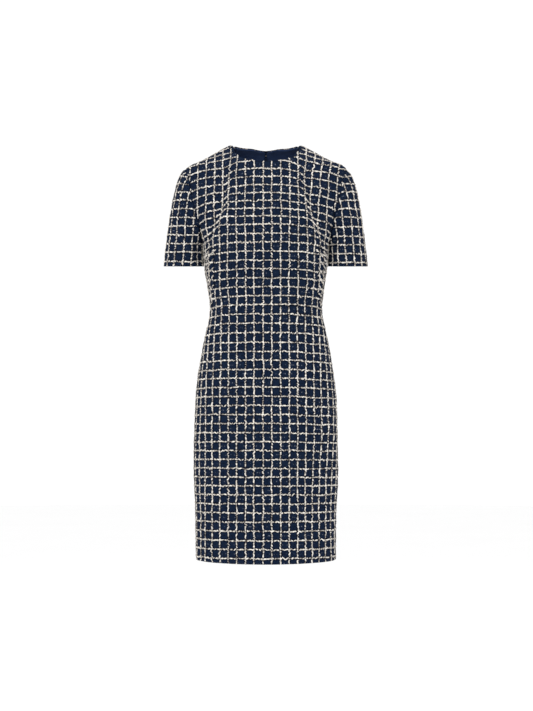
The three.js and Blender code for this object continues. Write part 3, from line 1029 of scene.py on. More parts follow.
@dataclass
class YarnLayer:
    """Lays boucle yarn on a piece of cloth along the lines of the check."""

    check: Check
    step: float = 1.95 * MM  # from one ring of a strand to the next
    fewest_rings: int = 4
    sides: int = 4
    half_width: float = 1.94 * MM
    half_height: float = 1.1 * MM
    lying: float = 0.5  # how high its middle lies, as a part of half its height
    uneven: float = 0.18  # how much the thickness varies from ring to ring
    uneven_range: Range = (0.6, 1.4)
    lumpy: float = 0.2  # and from corner to corner of a ring
    most_lumpy: float = 1.6
    end_size: float = 0.5  # its ends taper to this
    end_reach: float = 1.0 * MM
    slub: float = 5.4 * MM  # the usual length of one thick stretch
    slub_range: Range = (0.4, 1.6)  # how its length varies
    slub_start: float = 1.7  # how many lengths before the strand they start to be counted
    slub_reserve: tuple[float, int] = (1.5, 8)  # how many more are made than fit: a share, and a few
    slub_shade: Range = (0.78, 1.08)
    pinch: float = 1.5 * MM  # half the length of a thin one, where the dark binder shows
    pinch_spread: Range = (1.0, 0.9)  # the shape of the beta distribution of how thin it is
    pinch_size: float = 0.7  # how much of the thickness the thinnest place loses
    binder_and_hole_shade: float = 0.3  # the palest that the binder, and the painted shade at a dip, is
    lean: float = 1.25 * MM  # how far the ends of a thick stretch stand off the line
    stray: float = 0.35 * MM  # how far a line strays from its place in the check
    sway: float = 0.5 * MM  # how far a strand strays from its line
    sway_rings: float = 4.0
    weave_lift: float = 0.45 * MM  # over one strand and under the next
    shortest: float = 4 * MM
    fewest_rows: int = 3
    jump: int = 6  # a line that moves over more columns from one row to the next is broken there
    dives: float = 0.3  # the part of its crossings under another strand where it dips out of sight
    dive: Range = (0.8, 0.97)  # where the dip starts and is full, from 0 between crossings to 1 at one

    def lay(self, name: str, cloth: Cloth, seed: int) -> bpy.types.Object:
        """Makes all the yarn of one piece.

        Args:
            name: The object's name.
            cloth: The piece it lies on.
            seed: Starts the random numbers.

        Returns:
            The yarn, as one joined mesh with a shade for each point.
        """
        rng = np.random.default_rng(seed)
        strands = [*self._lines(cloth, True, rng), *self._lines(cloth, False, rng)]
        return self._joined(name, [self._tube(strand, rng) for strand in strands])

    def _lines(self, cloth: Cloth, warp: bool, rng: np.random.Generator) -> Iterator[Strand]:
        """Finds where the check's lines cross the grid.

        Args:
            cloth: The cloth.
            warp: Whether to follow the lines along the warp, or else across it.
            rng: The source of random numbers.

        Yields:
            Each unbroken stretch of a line.
        """
        check = self.check
        lines, over = (check.warp, check.weft) if warp else (check.weft, check.warp)
        turned = (lambda held: held) if warp else (lambda held: held.swapaxes(0, 1))
        place = turned(cloth.across if warp else cloth.along)
        phase = turned(cloth.along if warp else cloth.across)
        points, normals, zone = turned(cloth.points), turned(cloth.normals), turned(cloth.zone)
        lowest = math.ceil((place.min() - lines.first) / lines.pitch)
        count = int((place.max() - lines.first) / lines.pitch) - lowest + 1
        numbers = lowest + np.arange(max(count, 0))
        places = lines.first + numbers * lines.pitch + rng.normal(0.0, self.stray, len(numbers))
        for here in np.unique(zone[zone != BARE]):
            found = self._crossings(place, zone == here, places)
            for number, crossing in zip(numbers, found.T):
                for rows in self._runs(crossing):
                    left = crossing[rows].astype(int)
                    right = np.minimum(left + 1, place.shape[1] - 1)
                    part = crossing[rows] - left
                    line = mix(points[rows, left], points[rows, right], part[:, None])
                    if length_along(line)[-1] < self.shortest:
                        continue
                    out = mix(normals[rows, left], normals[rows, right], part[:, None])
                    passed = mix(phase[rows, left], phase[rows, right], part) - over.first
                    yield Strand(line, out, passed / over.pitch + number + (0 if warp else 1))

    @staticmethod
    def _crossings(place: np.ndarray, here: np.ndarray, lines: np.ndarray) -> np.ndarray:
        """The column at which each line crosses each row, where it does."""
        found = np.full((place.shape[0], len(lines)), np.nan)
        for row, (values, inside) in enumerate(zip(place, here)):
            columns = np.flatnonzero(inside)
            if len(columns) < 2:
                continue
            held = values[columns]
            if held[0] > held[-1]:
                held, columns = held[::-1], columns[::-1]
            found[row] = np.interp(lines, held, columns.astype(float), left=np.nan, right=np.nan)
        return found

    def _runs(self, crossing: np.ndarray) -> Iterator[np.ndarray]:
        """The unbroken runs of rows that a line crosses."""
        rows = np.flatnonzero(~np.isnan(crossing))
        if len(rows) < self.fewest_rows:
            return
        breaks = (np.diff(rows) > 1) | (np.abs(np.diff(crossing[rows])) > self.jump)
        for run in np.split(rows, np.flatnonzero(breaks) + 1):
            if len(run) >= self.fewest_rows:
                yield run

    def _tube(self, strand: Strand, rng: np.random.Generator) -> tuple[np.ndarray, np.ndarray]:
        """Rounds a strand out into rings of points, with their shades.

        Args:
            strand: The strand.
            rng: The source of random numbers.

        Returns:
            The rings' points, and a shade for each ring.
        """
        travelled = length_along(strand.points)
        rings = max(self.fewest_rings, int(travelled[-1] / self.step) + 1)
        at = np.linspace(0.0, travelled[-1], rings)
        points = read_along(strand.points, travelled, at)
        normals = unit(read_along(strand.normals, travelled, at))
        phase = np.interp(at, travelled, strand.phase)
        sideways = unit(np.cross(normals, np.gradient(points, axis=0)))

        thin, lean, bright = self._slubs(at, rng)
        # a dip under a crossing strand is thinned like a pinch and painted dark, as the shade in the hole
        # where it goes under
        thin = np.maximum(thin, self._dips(phase, rng))
        size = np.clip(1.0 + self.uneven * rng.standard_normal(rings), *self.uneven_range)
        size *= 1 - self.pinch_size * thin
        size *= np.clip(np.minimum(at, at[-1] - at) / self.end_reach, self.end_size, 1.0)
        shade = mix(bright, self.binder_and_hole_shade * rng.random(rings), thin)

        sway = lean + self.sway * soft_noise(rng, rings, self.sway_rings)
        lift = self.half_height * self.lying * size + self.weave_lift * np.cos(np.pi * phase)
        centre = points + sideways * sway[:, None] + normals * lift[:, None]
        angle = 2 * np.pi * (np.arange(self.sides) + 0.5) / self.sides
        lumps = rng.standard_normal((rings, self.sides)).clip(-self.most_lumpy, self.most_lumpy)
        scale = size[:, None] * (1.0 + self.lumpy * lumps)
        wide = (self.half_width * np.cos(angle) * scale)[..., None]
        high = (self.half_height * np.sin(angle) * scale)[..., None]
        return centre[:, None] + sideways[:, None] * wide + normals[:, None] * high, shade

    def _slubs(
        self, at: np.ndarray, rng: np.random.Generator
    ) -> tuple[np.ndarray, np.ndarray, np.ndarray]:
        """Divides a strand into short thick stretches with thin places between them.

        Args:
            at: How far along the strand each ring is.
            rng: The source of random numbers.

        Returns:
            How thin it is at each ring, from 0 to 1, its lean to one side, and its brightness.
        """
        share, spare = self.slub_reserve
        count = int(at[-1] / self.slub * share) + spare
        bounds = (np.cumsum(rng.uniform(*self.slub_range, count)) - self.slub_start) * self.slub
        number = np.searchsorted(bounds, at)
        part = (at - bounds[number - 1]) / (bounds[number] - bounds[number - 1])
        nearest = number - (part < 0.5)
        near = np.exp(-(((at - bounds[nearest]) / self.pinch) ** 2))
        thin = rng.beta(*self.pinch_spread, count)[nearest] * near
        lean = rng.normal(0.0, self.lean, count)[number] * (2 * part - 1)
        return thin, lean, rng.uniform(*self.slub_shade, count)[number]

    def _dips(self, phase: np.ndarray, rng: np.random.Generator) -> np.ndarray:
        """Where the yarn dips under a strand that it crosses, as 1 there and 0 elsewhere."""
        crossing = np.round(phase).astype(int)
        dips = rng.random(int(np.ptp(crossing)) + 1) < self.dives
        under = smooth_step(-np.cos(np.pi * phase), *self.dive)
        return under * dips[crossing - crossing.min()]

    def _joined(
        self, name: str, tubes: Sequence[tuple[np.ndarray, np.ndarray]]
    ) -> bpy.types.Object:
        """Joins the tubes in one mesh, each with a face at both ends."""
        corners, quads, caps, shades = [], [], [], []
        around = np.arange(self.sides)
        first = 0
        for tube, shade in tubes:
            rings = len(tube)
            start = first + np.arange(rings - 1)[:, None] * self.sides
            low, next_low = start + around, start + (around + 1) % self.sides
            quads.append(np.stack([low, next_low, next_low + self.sides, low + self.sides], -1))
            caps += [first + around[::-1], first + (rings - 1) * self.sides + around]
            corners.append(tube.reshape(-1, 3))
            shades.append(np.repeat(shade, self.sides))
            first += rings * self.sides
        mesh = bpy.data.meshes.new(name)
        faces = np.concatenate([held.reshape(-1, 4) for held in quads])
        mesh.from_pydata(np.concatenate(corners), [], [*faces.tolist(), *np.array(caps).tolist()])
        mesh.shade_smooth()
        mesh.attributes.new(SHADE, "FLOAT", "POINT").data.foreach_set("value", np.concatenate(shades))
        mesh.update()
        return placed(name, mesh)


# --- Panels ---------------------------------------------------------


@dataclass
class Panel:
    """A front or a back of the dress."""

    form: BodyForm
    face: Face
    neck_columns: int = 5  # round half the neckline, before they are divided
    shoulder_columns: int = 6
    skirt_rows: int = 21
    armhole_rows: int = 12
    skirt_row_growth: float = 1.3
    finer: int = 6  # each column and row is divided in so many

    def columns(self) -> np.ndarray:
        """The columns' numbers, from one side seam to the other."""
        most = self.neck_columns + self.shoulder_columns
        return np.linspace(-most, most, 2 * most * self.finer + 1)

    def _spread(self, columns: np.ndarray) -> tuple[np.ndarray, np.ndarray]:
        """Where the columns stand on the upper edge and round the body, as parts of the half width."""
        count = self.neck_columns + self.shoulder_columns
        neck_part = self.form.neck_half_width / self.form.tip_half_width
        number, sign = np.abs(columns), np.sign(columns)
        round_neck = neck_part * np.sin(np.pi / 2 * np.minimum(1.0, number / self.neck_columns))
        shoulder = mix(neck_part, 1.0, (number - self.neck_columns) / self.shoulder_columns)
        top = np.where(number <= self.neck_columns, round_neck, shoulder)
        body = np.sin(np.pi / 2 * number / count) ** (2 / self.form.ovalness)
        return sign * top, sign * body

    def _grid(self) -> tuple[np.ndarray, np.ndarray]:
        """The places of the grid's points across and up, rows from the hem."""
        form = self.form
        top, body = self._spread(self.columns())
        hem = form.hem_z + form.hem_side_lift * body**2
        rows = np.arange(self.skirt_rows * self.finer) / (self.skirt_rows * self.finer)
        left = ((1 - rows) ** self.skirt_row_growth)[:, None]
        skirt_z = form.underarm_z + (hem - form.underarm_z) * left
        skirt_x = body * form.half_width(skirt_z)
        steps = self.armhole_rows * (self.finer - 1)
        angle = (np.pi * (1 - np.arange(steps + 1) / steps))[:, None]
        rise = form.top_edge_z(top * form.tip_half_width, self.face) - form.underarm_z
        chest_z = form.underarm_z + rise * (1 + np.cos(angle)) / 2
        reach = form.armhole(-self.face.value * angle)[..., 0]
        chest_x = mix(top, body, np.sin(angle / 2)) * reach
        return np.concatenate([skirt_x, chest_x]), np.concatenate([skirt_z, chest_z])

    def cloth(self) -> Cloth:
        """The panel's cloth, before its folds are pressed and it is given a thickness."""
        x, z = self._grid()
        self._shift_centre(x, z)
        points = self.form.points(x, z, self.face)
        normals = self.form.normals(points, self.face)
        across, along, zone = FlatPattern(self.form, self.face).lay(x, z)
        return Cloth(points, normals, across, along, zone)

    def _shift_centre(self, x: np.ndarray, z: np.ndarray) -> None:
        """Moves the points of a centre seam. A whole panel has none."""


@dataclass
class BackPanel(Panel):
    """One half of the back, whose centre seam has a slit for the zip's slider."""

    side: Side = Side.LEFT
    slit_half_width: float = 1.2 * MM
    slit_end: Range = (-30 * MM, -22 * MM)  # it opens between these heights
    slit_top: Range = (-17 * MM, -16 * MM)  # and closes again between these
    pressed: float = 0.4 * MM  # how far each edge gives way above it
    sewn: float = 0.15 * MM  # and along the seam below it

    def columns(self) -> np.ndarray:
        """The columns' numbers, from the centre back to the side seam."""
        most = self.neck_columns + self.shoulder_columns
        return self.side.value * np.linspace(0, most, most * self.finer + 1)

    def _shift_centre(self, x: np.ndarray, z: np.ndarray) -> None:
        """Lets the centre edge into the seam, and draws it back beside the slit."""
        opening = smooth_step(z[:, 0], *self.slit_end)
        closed = smooth_step(z[:, 0], *self.slit_top)
        edge = mix(-self.sewn, self.slit_half_width, opening)
        x[:, 0] = self.side.value * mix(edge, -self.pressed, closed)


@dataclass(frozen=True)
class DragFold:
    """The fold that runs from beside the neck to the underarm: outside it, the check sits lower.

    Its line is given from the neck down. Depths are counted down from the neck points.
    """

    depths: tuple[float, ...] = (0.045, 0.085, 0.120, 0.142, 0.160, 0.180, 0.200, 0.220, 0.242)
    places: tuple[float, ...] = (0.076, 0.087, 0.092, 0.095, 0.099, 0.106, 0.113, 0.121, 0.131)
    reach: float = 11 * MM  # to each side, below the neck
    top_inner_reach: float = 24 * MM
    top_outer_reach: float = 36 * MM
    narrowing: Range = (0.045, 0.085)  # between these depths it takes the lesser reach
    sink: float = 16 * MM
    deeper: float = 5 * MM  # below the chest
    deeper_from: Range = (0.120, 0.165)
    taken_up: float = 9 * MM  # cloth across the fold
    left_taken_up: Range = (0.030, 0.105)  # on the left, it grows between these depths
    left_more: float = 5 * MM  # and then grows again, by this much
    left_more_from: Range = (0.115, 0.160)
    fading: Range = (0.195, 0.268)  # between these depths it sinks less, then not at all

    def step(self, x: np.ndarray, depth: np.ndarray) -> np.ndarray:
        """Goes from 0 inside the fold to 1 outside it, and fades out below."""
        away = np.abs(x) - np.interp(depth, self.depths, self.places)
        narrow = smooth_step(depth, *self.narrowing)
        inner = mix(self.top_inner_reach, self.reach, narrow)
        outer = mix(self.top_outer_reach, self.reach, narrow)
        return smooth_step(away, -inner, outer) * fade(depth, *self.fading)

    def drop(self, depth: np.ndarray) -> np.ndarray:
        """How far the check sinks outside the fold."""
        return self.sink + self.deeper * smooth_step(depth, *self.deeper_from)

    def taken(self, x: np.ndarray, depth: np.ndarray) -> np.ndarray:
        """How much cloth the fold takes up."""
        left = self.taken_up * smooth_step(depth, *self.left_taken_up)
        left += self.left_more * smooth_step(depth, *self.left_more_from)
        return np.where(x > 0, left, self.taken_up)


@dataclass(frozen=True)
class BustDart:
    """The dart at each side of the front, which the check runs into from two sides.

    Its line goes up from the waist. Its parts are of the half width there.
    """

    heights: tuple[float, ...] = (-0.405, -0.344, -0.309, -0.278, -0.257)
    parts: tuple[float, ...] = (1.0, 0.875, 0.85, 0.825, 0.76)
    offset: float = 7 * MM  # how much lower the weft sits on its outer side
    slope: float = 1.2  # and how much more for each metre away from it
    slope_fading: Range = (0.33, 0.40)

    def sink(self, part: np.ndarray, z: np.ndarray, half_width: np.ndarray) -> np.ndarray:
        """How much lower the weft sits on the dart's outer side, and 0 elsewhere."""
        dart = np.interp(z, self.heights, self.parts)
        outer = (self.heights[0] < z) & (z < self.heights[-1]) & (part > dart)
        beyond = (part - dart) * half_width
        sink = self.offset + self.slope * fade(-z, *self.slope_fading) * beyond
        return np.where(outer, sink, 0.0)


@dataclass
class FlatPattern:
    """Lays a panel flat: the warp runs along the centre line and the weft starts level at the hem.

    Each range is a pair of distances from the centre line, or of depths below the neck points, between
    which something grows or fades, and each band is one of depths.
    """

    form: BodyForm
    face: Face
    levels: int = 246
    turns: int = 120
    below_hem: float = 5 * MM
    reach: float = 260 * MM  # to the side, further than any point lies round the body
    reach_steps: int = 66
    fold: DragFold = DragFold()
    dart: BustDart = BustDart()
    upright: Range = (0.185, 0.262)  # above this depth, the warp hangs upright
    eased: float = 1.8 * MM  # there, the warps beside the centre stand further apart by this in all
    eased_reach: Range = (15 * MM, 45 * MM)
    bust_spread: float = 5 * MM  # the warps stand further apart over the bust
    bust_band: Band = Band(0.200, 0.240, 0.330, 0.400)
    bust_reach: Range = (0.055, 0.095)
    neck_spare: float = 3.5 * MM  # the weft stands higher at the front neck
    neck_spare_depth: Range = (0.053, 0.066)
    neck_spare_reach: Range = (35 * MM, 62 * MM)
    neck_sink: float = 8 * MM  # the weft bows down away from the neck, but not on the shoulders
    neck_sink_reach: Range = (30 * MM, 95 * MM)
    neck_sink_depth: Range = (0.090, 0.215)
    shoulder_depth: Range = (0.030, 0.080)
    shoulder_reach: Range = (0.095, 0.135)
    chest_sink: float = 2.2 * MM  # and sits lower on the chest
    chest_band: Band = Band(0.095, 0.118, 0.160, 0.190)
    hip_sink: float = 5.2 * MM  # and round the hips
    hip_band: Band = Band(0.380, 0.500, 0.660, 0.880)
    hip_side_sink: float = 2.5 * MM
    hip_side_reach: Range = (0.050, 0.120)
    left_low: float = 3.5 * MM  # the weft sits lower on the left of the chest
    right_high: float = 2 * MM  # and higher on the right
    lean_reach: Range = (30 * MM, 130 * MM)
    lean_depth: Range = (0.200, 0.250)
    skirt_tuck: float = 9 * MM  # cloth taken up by the soft fold at the left of the skirt
    skirt_tuck_reach: Range = (0.060, 0.135)
    skirt_tuck_depth: Range = (0.680, 0.800)

    def lay(self, x: np.ndarray, z: np.ndarray) -> tuple[np.ndarray, np.ndarray, np.ndarray]:
        """Finds the places on the flat cloth.

        Args:
            x, z: The panel's points across and up.

        Returns:
            The places across the warp and along it, and the zone of each point.
        """
        heights = np.linspace(self.form.hem_z - self.below_hem, 0.0, self.levels)
        ovals = self._ovals(heights)
        round_body = length_along(ovals, axis=1)
        half_width = self.form.half_width(z)
        part = np.minimum(1.0, np.abs(x) / half_width)
        column = np.arcsin(part ** (self.form.ovalness / 2)) / (np.pi / 2) * (self.turns - 1)
        level = (z - heights[0]) / -heights[0] * (self.levels - 1)
        across = bilinear(round_body, level, column)
        along = self._rise(heights, ovals, round_body, level, across)
        zone = np.zeros(x.shape, int)
        if self.face is Face.FRONT:
            folded = self.fold.step(x, -z)
            dart = self.dart.sink(part, z, half_width)
            zone = np.where(dart > 0, np.sign(x).astype(int), zone)
            sink = self.fold.drop(-z) * folded + self._neck_sink(np.abs(x), -z)
            along = along + np.where(dart > 0, dart, sink) + self._body_sink(x, -z)
            across = self._eased(x, -z, across) + self.fold.taken(x, -z) * folded
        return np.sign(x) * across, along, zone

    def _neck_sink(self, away: np.ndarray, depth: np.ndarray) -> np.ndarray:
        """How much lower the weft sits beside the neck."""
        beside = smooth_step(away, *self.neck_sink_reach) * fade(depth, *self.neck_sink_depth)
        shoulder = fade(depth, *self.shoulder_depth) * fade(away, *self.shoulder_reach)
        return self.neck_sink * beside * (1 - shoulder)

    def _body_sink(self, x: np.ndarray, depth: np.ndarray) -> np.ndarray:
        """How much lower the weft sits at the neck, on the chest and round the hips."""
        spare = fade(depth, *self.neck_spare_depth) * fade(np.abs(x), *self.neck_spare_reach)
        hips = self.hip_sink + self.hip_side_sink * smooth_step(x, *self.hip_side_reach)
        lean = self.left_low * smooth_step(x, *self.lean_reach)
        lean -= self.right_high * smooth_step(-x, *self.lean_reach)
        return (
            self.chest_sink * self.chest_band.at(depth)
            + hips * self.hip_band.at(depth)
            + lean * fade(depth, *self.lean_depth)
            - self.neck_spare * spare
        )

    def _eased(self, x: np.ndarray, depth: np.ndarray, across: np.ndarray) -> np.ndarray:
        """The places across the front's warp, without the drag fold, from those round the body."""
        away = np.abs(x)
        hanging = away - self.eased * smooth_step(away, *self.eased_reach)
        bust = self.bust_band.at(depth) * smooth_step(away, *self.bust_reach)
        tuck = smooth_step(x, *self.skirt_tuck_reach) * smooth_step(depth, *self.skirt_tuck_depth)
        round_body = across - self.bust_spread * bust
        return mix(hanging, round_body, smooth_step(depth, *self.upright)) + self.skirt_tuck * tuck

    def _ovals(self, heights: np.ndarray) -> np.ndarray:
        """Points from the centre line to the side, level by level."""
        turn = np.linspace(0.0, np.pi / 2, self.turns)
        width = self.form.half_width(heights)[:, None]
        depth = self.form.depth(heights, self.face)[:, None]
        power = 2 / self.form.ovalness
        level = np.broadcast_to(heights[:, None], (self.levels, self.turns))
        return np.stack([width * np.sin(turn) ** power, depth * np.cos(turn) ** power, level], axis=-1)

    def _rise(
        self,
        heights: np.ndarray,
        ovals: np.ndarray,
        round_body: np.ndarray,
        level: np.ndarray,
        across: np.ndarray,
    ) -> np.ndarray:
        """How far up a warp thread from the hem each point lies.

        Args:
            heights: The heights of the ovals.
            ovals: Their points.
            round_body: The points' distances from the centre line.
            level, across: The places asked for, as a fractional oval and a distance.

        Returns:
            The lengths.
        """
        distances = np.linspace(0.0, self.reach, self.reach_steps)
        warps = [read_along(oval, lengths, distances) for lengths, oval in zip(round_body, ovals)]
        rises = length_along(np.stack(warps), axis=0)
        hem_rise = np.interp(self.form.hem_z, heights, rises[:, 0])
        return bilinear(rises, level, across / self.reach * (self.reach_steps - 1)) - hem_rise


# --- Sleeves --------------------------------------------------------


@dataclass
class Sleeve:
    """A short set-in sleeve, which folds out of the armhole and hangs beside the body.

    It is worked out on the left, and mirrored for the right. Its angles go round the arm: 0 is the
    outer line, a quarter turn the front.
    """

    form: BodyForm
    side: Side
    check: Check
    cuff_centre: Place = (193.5 * MM, 0.0, -289 * MM)
    cuff_half_width: float = 46.5 * MM
    cuff_half_depth: float = 44 * MM
    cuff_slant: float = 6 * MM
    turn_at_tip: float = 45.0
    turn_at_underarm: float = 165.0
    turn_sharpness: float = 2.91
    start_pull: float = 0.42
    end_pull: float = 0.95
    flare: float = 0.12
    gap: float = 0.7 * MM
    around: int = 120
    down: int = 72
    levels: int = 90
    edge_step: float = 0.02  # a small angle, to find which way the armhole's edge goes
    slope_step: float = 0.01  # a small part of the way round or down, to find which way is out
    hem_line: float = 12.4 * MM  # the last weft line of the check, above the sleeve's hem
    seam_rows: int = 4  # of the seam allowance, which turns in behind the edge of the armhole
    check_turn: float = 5.3 * MM  # how far round to the front the check sits near the hem
    left_turn_fading: Range = (150 * MM, 240 * MM)  # above the hem
    right_turn_fading: Range = (60 * MM, 200 * MM)
    left_sink: float = 4 * MM  # the check sits lower near the left sleeve's hem
    left_sink_fading: Range = (80 * MM, 105 * MM)

    def _cuff(self, angle: np.ndarray) -> np.ndarray:
        """The cuff's edge."""
        round_cuff = (
            self.cuff_half_width * np.cos(angle),
            -self.cuff_half_depth * np.sin(angle),
            -self.cuff_slant * np.sin(angle),
        )
        return np.array(self.cuff_centre) + np.stack(round_cuff, axis=-1)

    def _start(self, angle: np.ndarray) -> tuple[np.ndarray, np.ndarray]:
        """Where the middle of the cloth starts at the armhole, and which way it goes."""
        edge = self.form.armhole(angle)
        out = self.form.armhole_normals(edge)
        step = self.edge_step
        along = unit(self.form.armhole(angle + step) - self.form.armhole(angle - step))
        beyond = unit(np.cross(out, along))
        share = ((1 - np.cos(angle)) / 2) ** self.turn_sharpness
        turn = np.radians(mix(self.turn_at_tip, self.turn_at_underarm, share))[:, None]
        half = TWEED_THICKNESS / 2
        lift = half + self.gap - half * np.cos(turn)
        ahead = self.gap + half * np.maximum(0.0, -np.sin(turn))
        start = edge - out * half + beyond * ahead + out * lift
        return start, beyond * np.cos(turn) + out * np.sin(turn)

    def _middle(self, angle: np.ndarray, part: np.ndarray) -> np.ndarray:
        """The middle of the cloth, rows from the armhole down."""
        start, direction = self._start(angle)
        end = self._cuff(angle)
        length = np.linalg.norm(end - start, axis=-1, keepdims=True)
        flare = self.flare * (1 + np.cos(angle)) / 2
        down = unit(np.stack([flare, np.zeros_like(flare), -np.ones_like(flare)], axis=-1))
        leaving = direction * self.start_pull * length
        arriving = down * self.end_pull * length
        return hermite(start, leaving, end, arriving, part[:, None, None])

    def cloth(self) -> Cloth:
        """The sleeve's cloth, rows from the cuff up, columns from the underarm round the back."""
        angle = np.linspace(-np.pi, np.pi, self.around + 1)
        part = 1.0 - np.arange(self.down + self.seam_rows + 1) / self.down
        step = self.slope_step
        round_arm = self._middle(angle + step, part) - self._middle(angle - step, part)
        down = self._middle(angle, part + step) - self._middle(angle, part - step)
        normals = unit(np.cross(round_arm, down))
        points = self._middle(angle, part) + normals * TWEED_THICKNESS / 2
        along = length_along(points, axis=0)
        left = self.side is Side.LEFT
        turn_fading = self.left_turn_fading if left else self.right_turn_fading
        across = self._across(points, along) - self.check_turn * fade(along, *turn_fading)
        sink = self.left_sink * fade(along, *self.left_sink_fading) if left else 0.0
        along = along + sink - self.hem_line + self.check.weft.first
        zone = np.where(part[:, None] < 0, BARE, 0) + np.zeros(along.shape, int)
        mirror = np.array([self.side.value, 1, 1])
        return Cloth(points * mirror, normals * mirror, across * self.side.value, along, zone)

    def _across(self, points: np.ndarray, along: np.ndarray) -> np.ndarray:
        """How far round the arm each point lies from the outer line, measured level with the cuff."""
        levels = np.linspace(0.0, float(along.max()), self.levels)
        columns = np.arange(points.shape[1])
        warps = [read_along(points[:, column], along[:, column], levels) for column in columns]
        travelled = length_along(np.stack(warps, axis=1), axis=1)
        travelled -= travelled[:, [len(columns) // 2]]
        rows = along / levels[-1] * (self.levels - 1)
        return bilinear(travelled, rows, np.broadcast_to(columns.astype(float), along.shape))


# --- The dress ------------------------------------------------------


@dataclass
class Dress:
    """The dress, piece by piece."""

    finishes: Finishes
    check: Check
    form: BodyForm = field(default_factory=BodyForm)
    waves: float = 0.9 * MM  # how far the cloth of a front or back hangs in and out
    sleeve_waves: float = 0.8 * MM
    front_phase: float = 0.4
    back_phase: float = 2.0
    sleeve_phase: float = 4.0
    front_seed: int = 11
    back_seed: int = 20
    sleeve_seed: int = 30
    facing_thickness: float = 1.0 * MM
    layer_gap: float = 0.5 * MM
    facing_edge: float = 0.6 * MM
    facing_turn_back: float = 4.0 * MM  # from the centre back to the facing's edge
    facing_turn: Range = (1.1, 1.2)  # where its next two columns stand at least, as parts of that
    facing_over_tape: Range = (14 * MM, 24 * MM)  # from the centre, where it comes back to the tweed
    facing_reach: int = 8  # columns of the panel
    facing_rows: int = 4
    tape_outer_edge: float = 14 * MM
    tape_inner_edge: float = 1.5 * MM
    tape_top_gap: float = 3 * MM
    tape_rows: int = 140
    tape_columns: int = 5
    zip_bottom_z: float = -565 * MM
    tooth: Place = (1.35 * MM, 0.9 * MM, 0.8 * MM)  # its sizes in x, y and z
    tooth_edge: float = 0.15 * MM
    tooth_pitch: float = 1.4 * MM
    tooth_overlap: float = 0.2 * MM  # past the centre line

    front_folds: tuple[Fold, ...] = (
        Fold(
            ((-76, -42), (-87, -85), (-95, -142), (-106, -180), (-121, -220), (-135, -250)),
            depth=5.0 * MM,
            width=8 * MM,
        ),
        Fold(((-96, -72), (-108, -120), (-118, -165)), -1.6 * MM, 12 * MM),
        Fold(((-122, -88), (-140, -130), (-150, -172)), 1.8 * MM, 12 * MM),
        Fold(
            ((74, -56), (87, -88), (97, -142), (108, -180), (122, -220), (134, -244)),
            depth=6.2 * MM,
            width=8 * MM,
        ),
        Fold(((100, -80), (112, -125), (124, -165)), -1.8 * MM, 12 * MM),
        Fold(((124, -84), (144, -118), (156, -152)), 1.5 * MM, 11 * MM),
        Fold(((-112, -257), (-120, -278), (-122, -309), (-118, -344), (-126, -390)), 1.5 * MM, 4 * MM),
        Fold(((112, -257), (120, -278), (122, -309), (118, -344), (126, -390)), 1.5 * MM, 4 * MM),
        Fold(((-126, -377), (-98, -385), (-66, -382)), 1.6 * MM, 9 * MM),
        Fold(((127, -397), (104, -403), (74, -398)), 1.4 * MM, 8 * MM),
        Fold(((-152, -805), (-149, -885), (-147, -973)), 2.4 * MM, 10 * MM),
        Fold(((150, -705), (152, -825), (149, -935)), 2.0 * MM, 12 * MM),
    )
    back_folds: tuple[Fold, ...] = (  # on the left, and mirrored on the right
        Fold(((150, -70), (128, -120), (118, -170)), 2.6 * MM, 12 * MM),
        Fold(((26, -352), (64, -366), (108, -362)), 2.4 * MM, 10 * MM),
        Fold(((40, -392), (78, -402), (118, -398)), 2.0 * MM, 9 * MM),
        Fold(((128, -745), (132, -850), (130, -960)), 2.2 * MM, 13 * MM),
    )
    sleeve_folds: tuple[Fold, ...] = (  # likewise
        Fold(((176, -46, -165), (164, -42, -220), (156, -30, -262), (153, -26, -296)), 8.0 * MM, 13 * MM),
        Fold(((188, -48, -150), (184, -50, -200), (190, -46, -250)), 1.4 * MM, 10 * MM),
        Fold(((178, 44, -160), (168, 42, -215), (158, 32, -270)), 5.0 * MM, 13 * MM),
    )

    def build(self) -> None:
        """Builds and dresses every piece."""
        front = Panel(self.form, Face.FRONT)
        self._panel("front", front, self.front_folds, self.front_phase, self.front_seed)
        for number, side in enumerate(Side):
            back = BackPanel(self.form, Face.BACK, side=side)
            phase = self.back_phase + side.value
            self._panel(side.names("back"), back, self.back_folds, phase, self.back_seed + number)
            self._sleeve(side, self.sleeve_seed + number)
            self._tape(side)
            self._teeth(side)
        self._zip_head()

    def _dressed(self, piece: bpy.types.Object, slot: str, *materials: bpy.types.Material) -> None:
        """Gives a piece its materials and body, and reports it."""
        for material in materials:
            piece.data.materials.append(material)
        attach(piece, "dress")
        LOG.info("%s: %d vertices", piece.name, len(piece.data.vertices))

    def _declared(
        self, piece: bpy.types.Object, name: str, cloth: Cloth, held: str, *on_it: bpy.types.Object
    ) -> None:
        """Puts a piece of cloth in place of a CAD node by hiding the node, and works out the size that it
        is cut to.
        """
        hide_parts(name)
        width, length, area = cloth.flat_size()

    def _tweed_piece(self, name: str, cloth: Cloth, seed: int, closed: bool = False) -> None:
        """Makes a tweed piece with the yarn on it, in place of the CAD node of that name."""
        shell = cloth.shell(f"{name}_cloth", TWEED_THICKNESS, closed)
        yarn = YarnLayer(self.check).lay(f"{name}_yarn", cloth, seed)
        self._dressed(shell, "tweed", self.finishes.tweed, self.finishes.tweed_reverse)
        self._dressed(yarn, "tweed", self.finishes.yarn)
        self._declared(shell, name, cloth, "hung", yarn)

    def _lining_piece(self, name: str, cloth: Cloth, slot: str, material: bpy.types.Material) -> None:
        """Makes a smooth piece inside the dress, in place of the CAD node of that name."""
        shell = cloth.shell(f"{name}_cloth", self.facing_thickness)
        self._dressed(shell, slot, material, material)
        self._declared(shell, name, cloth, "stretched")

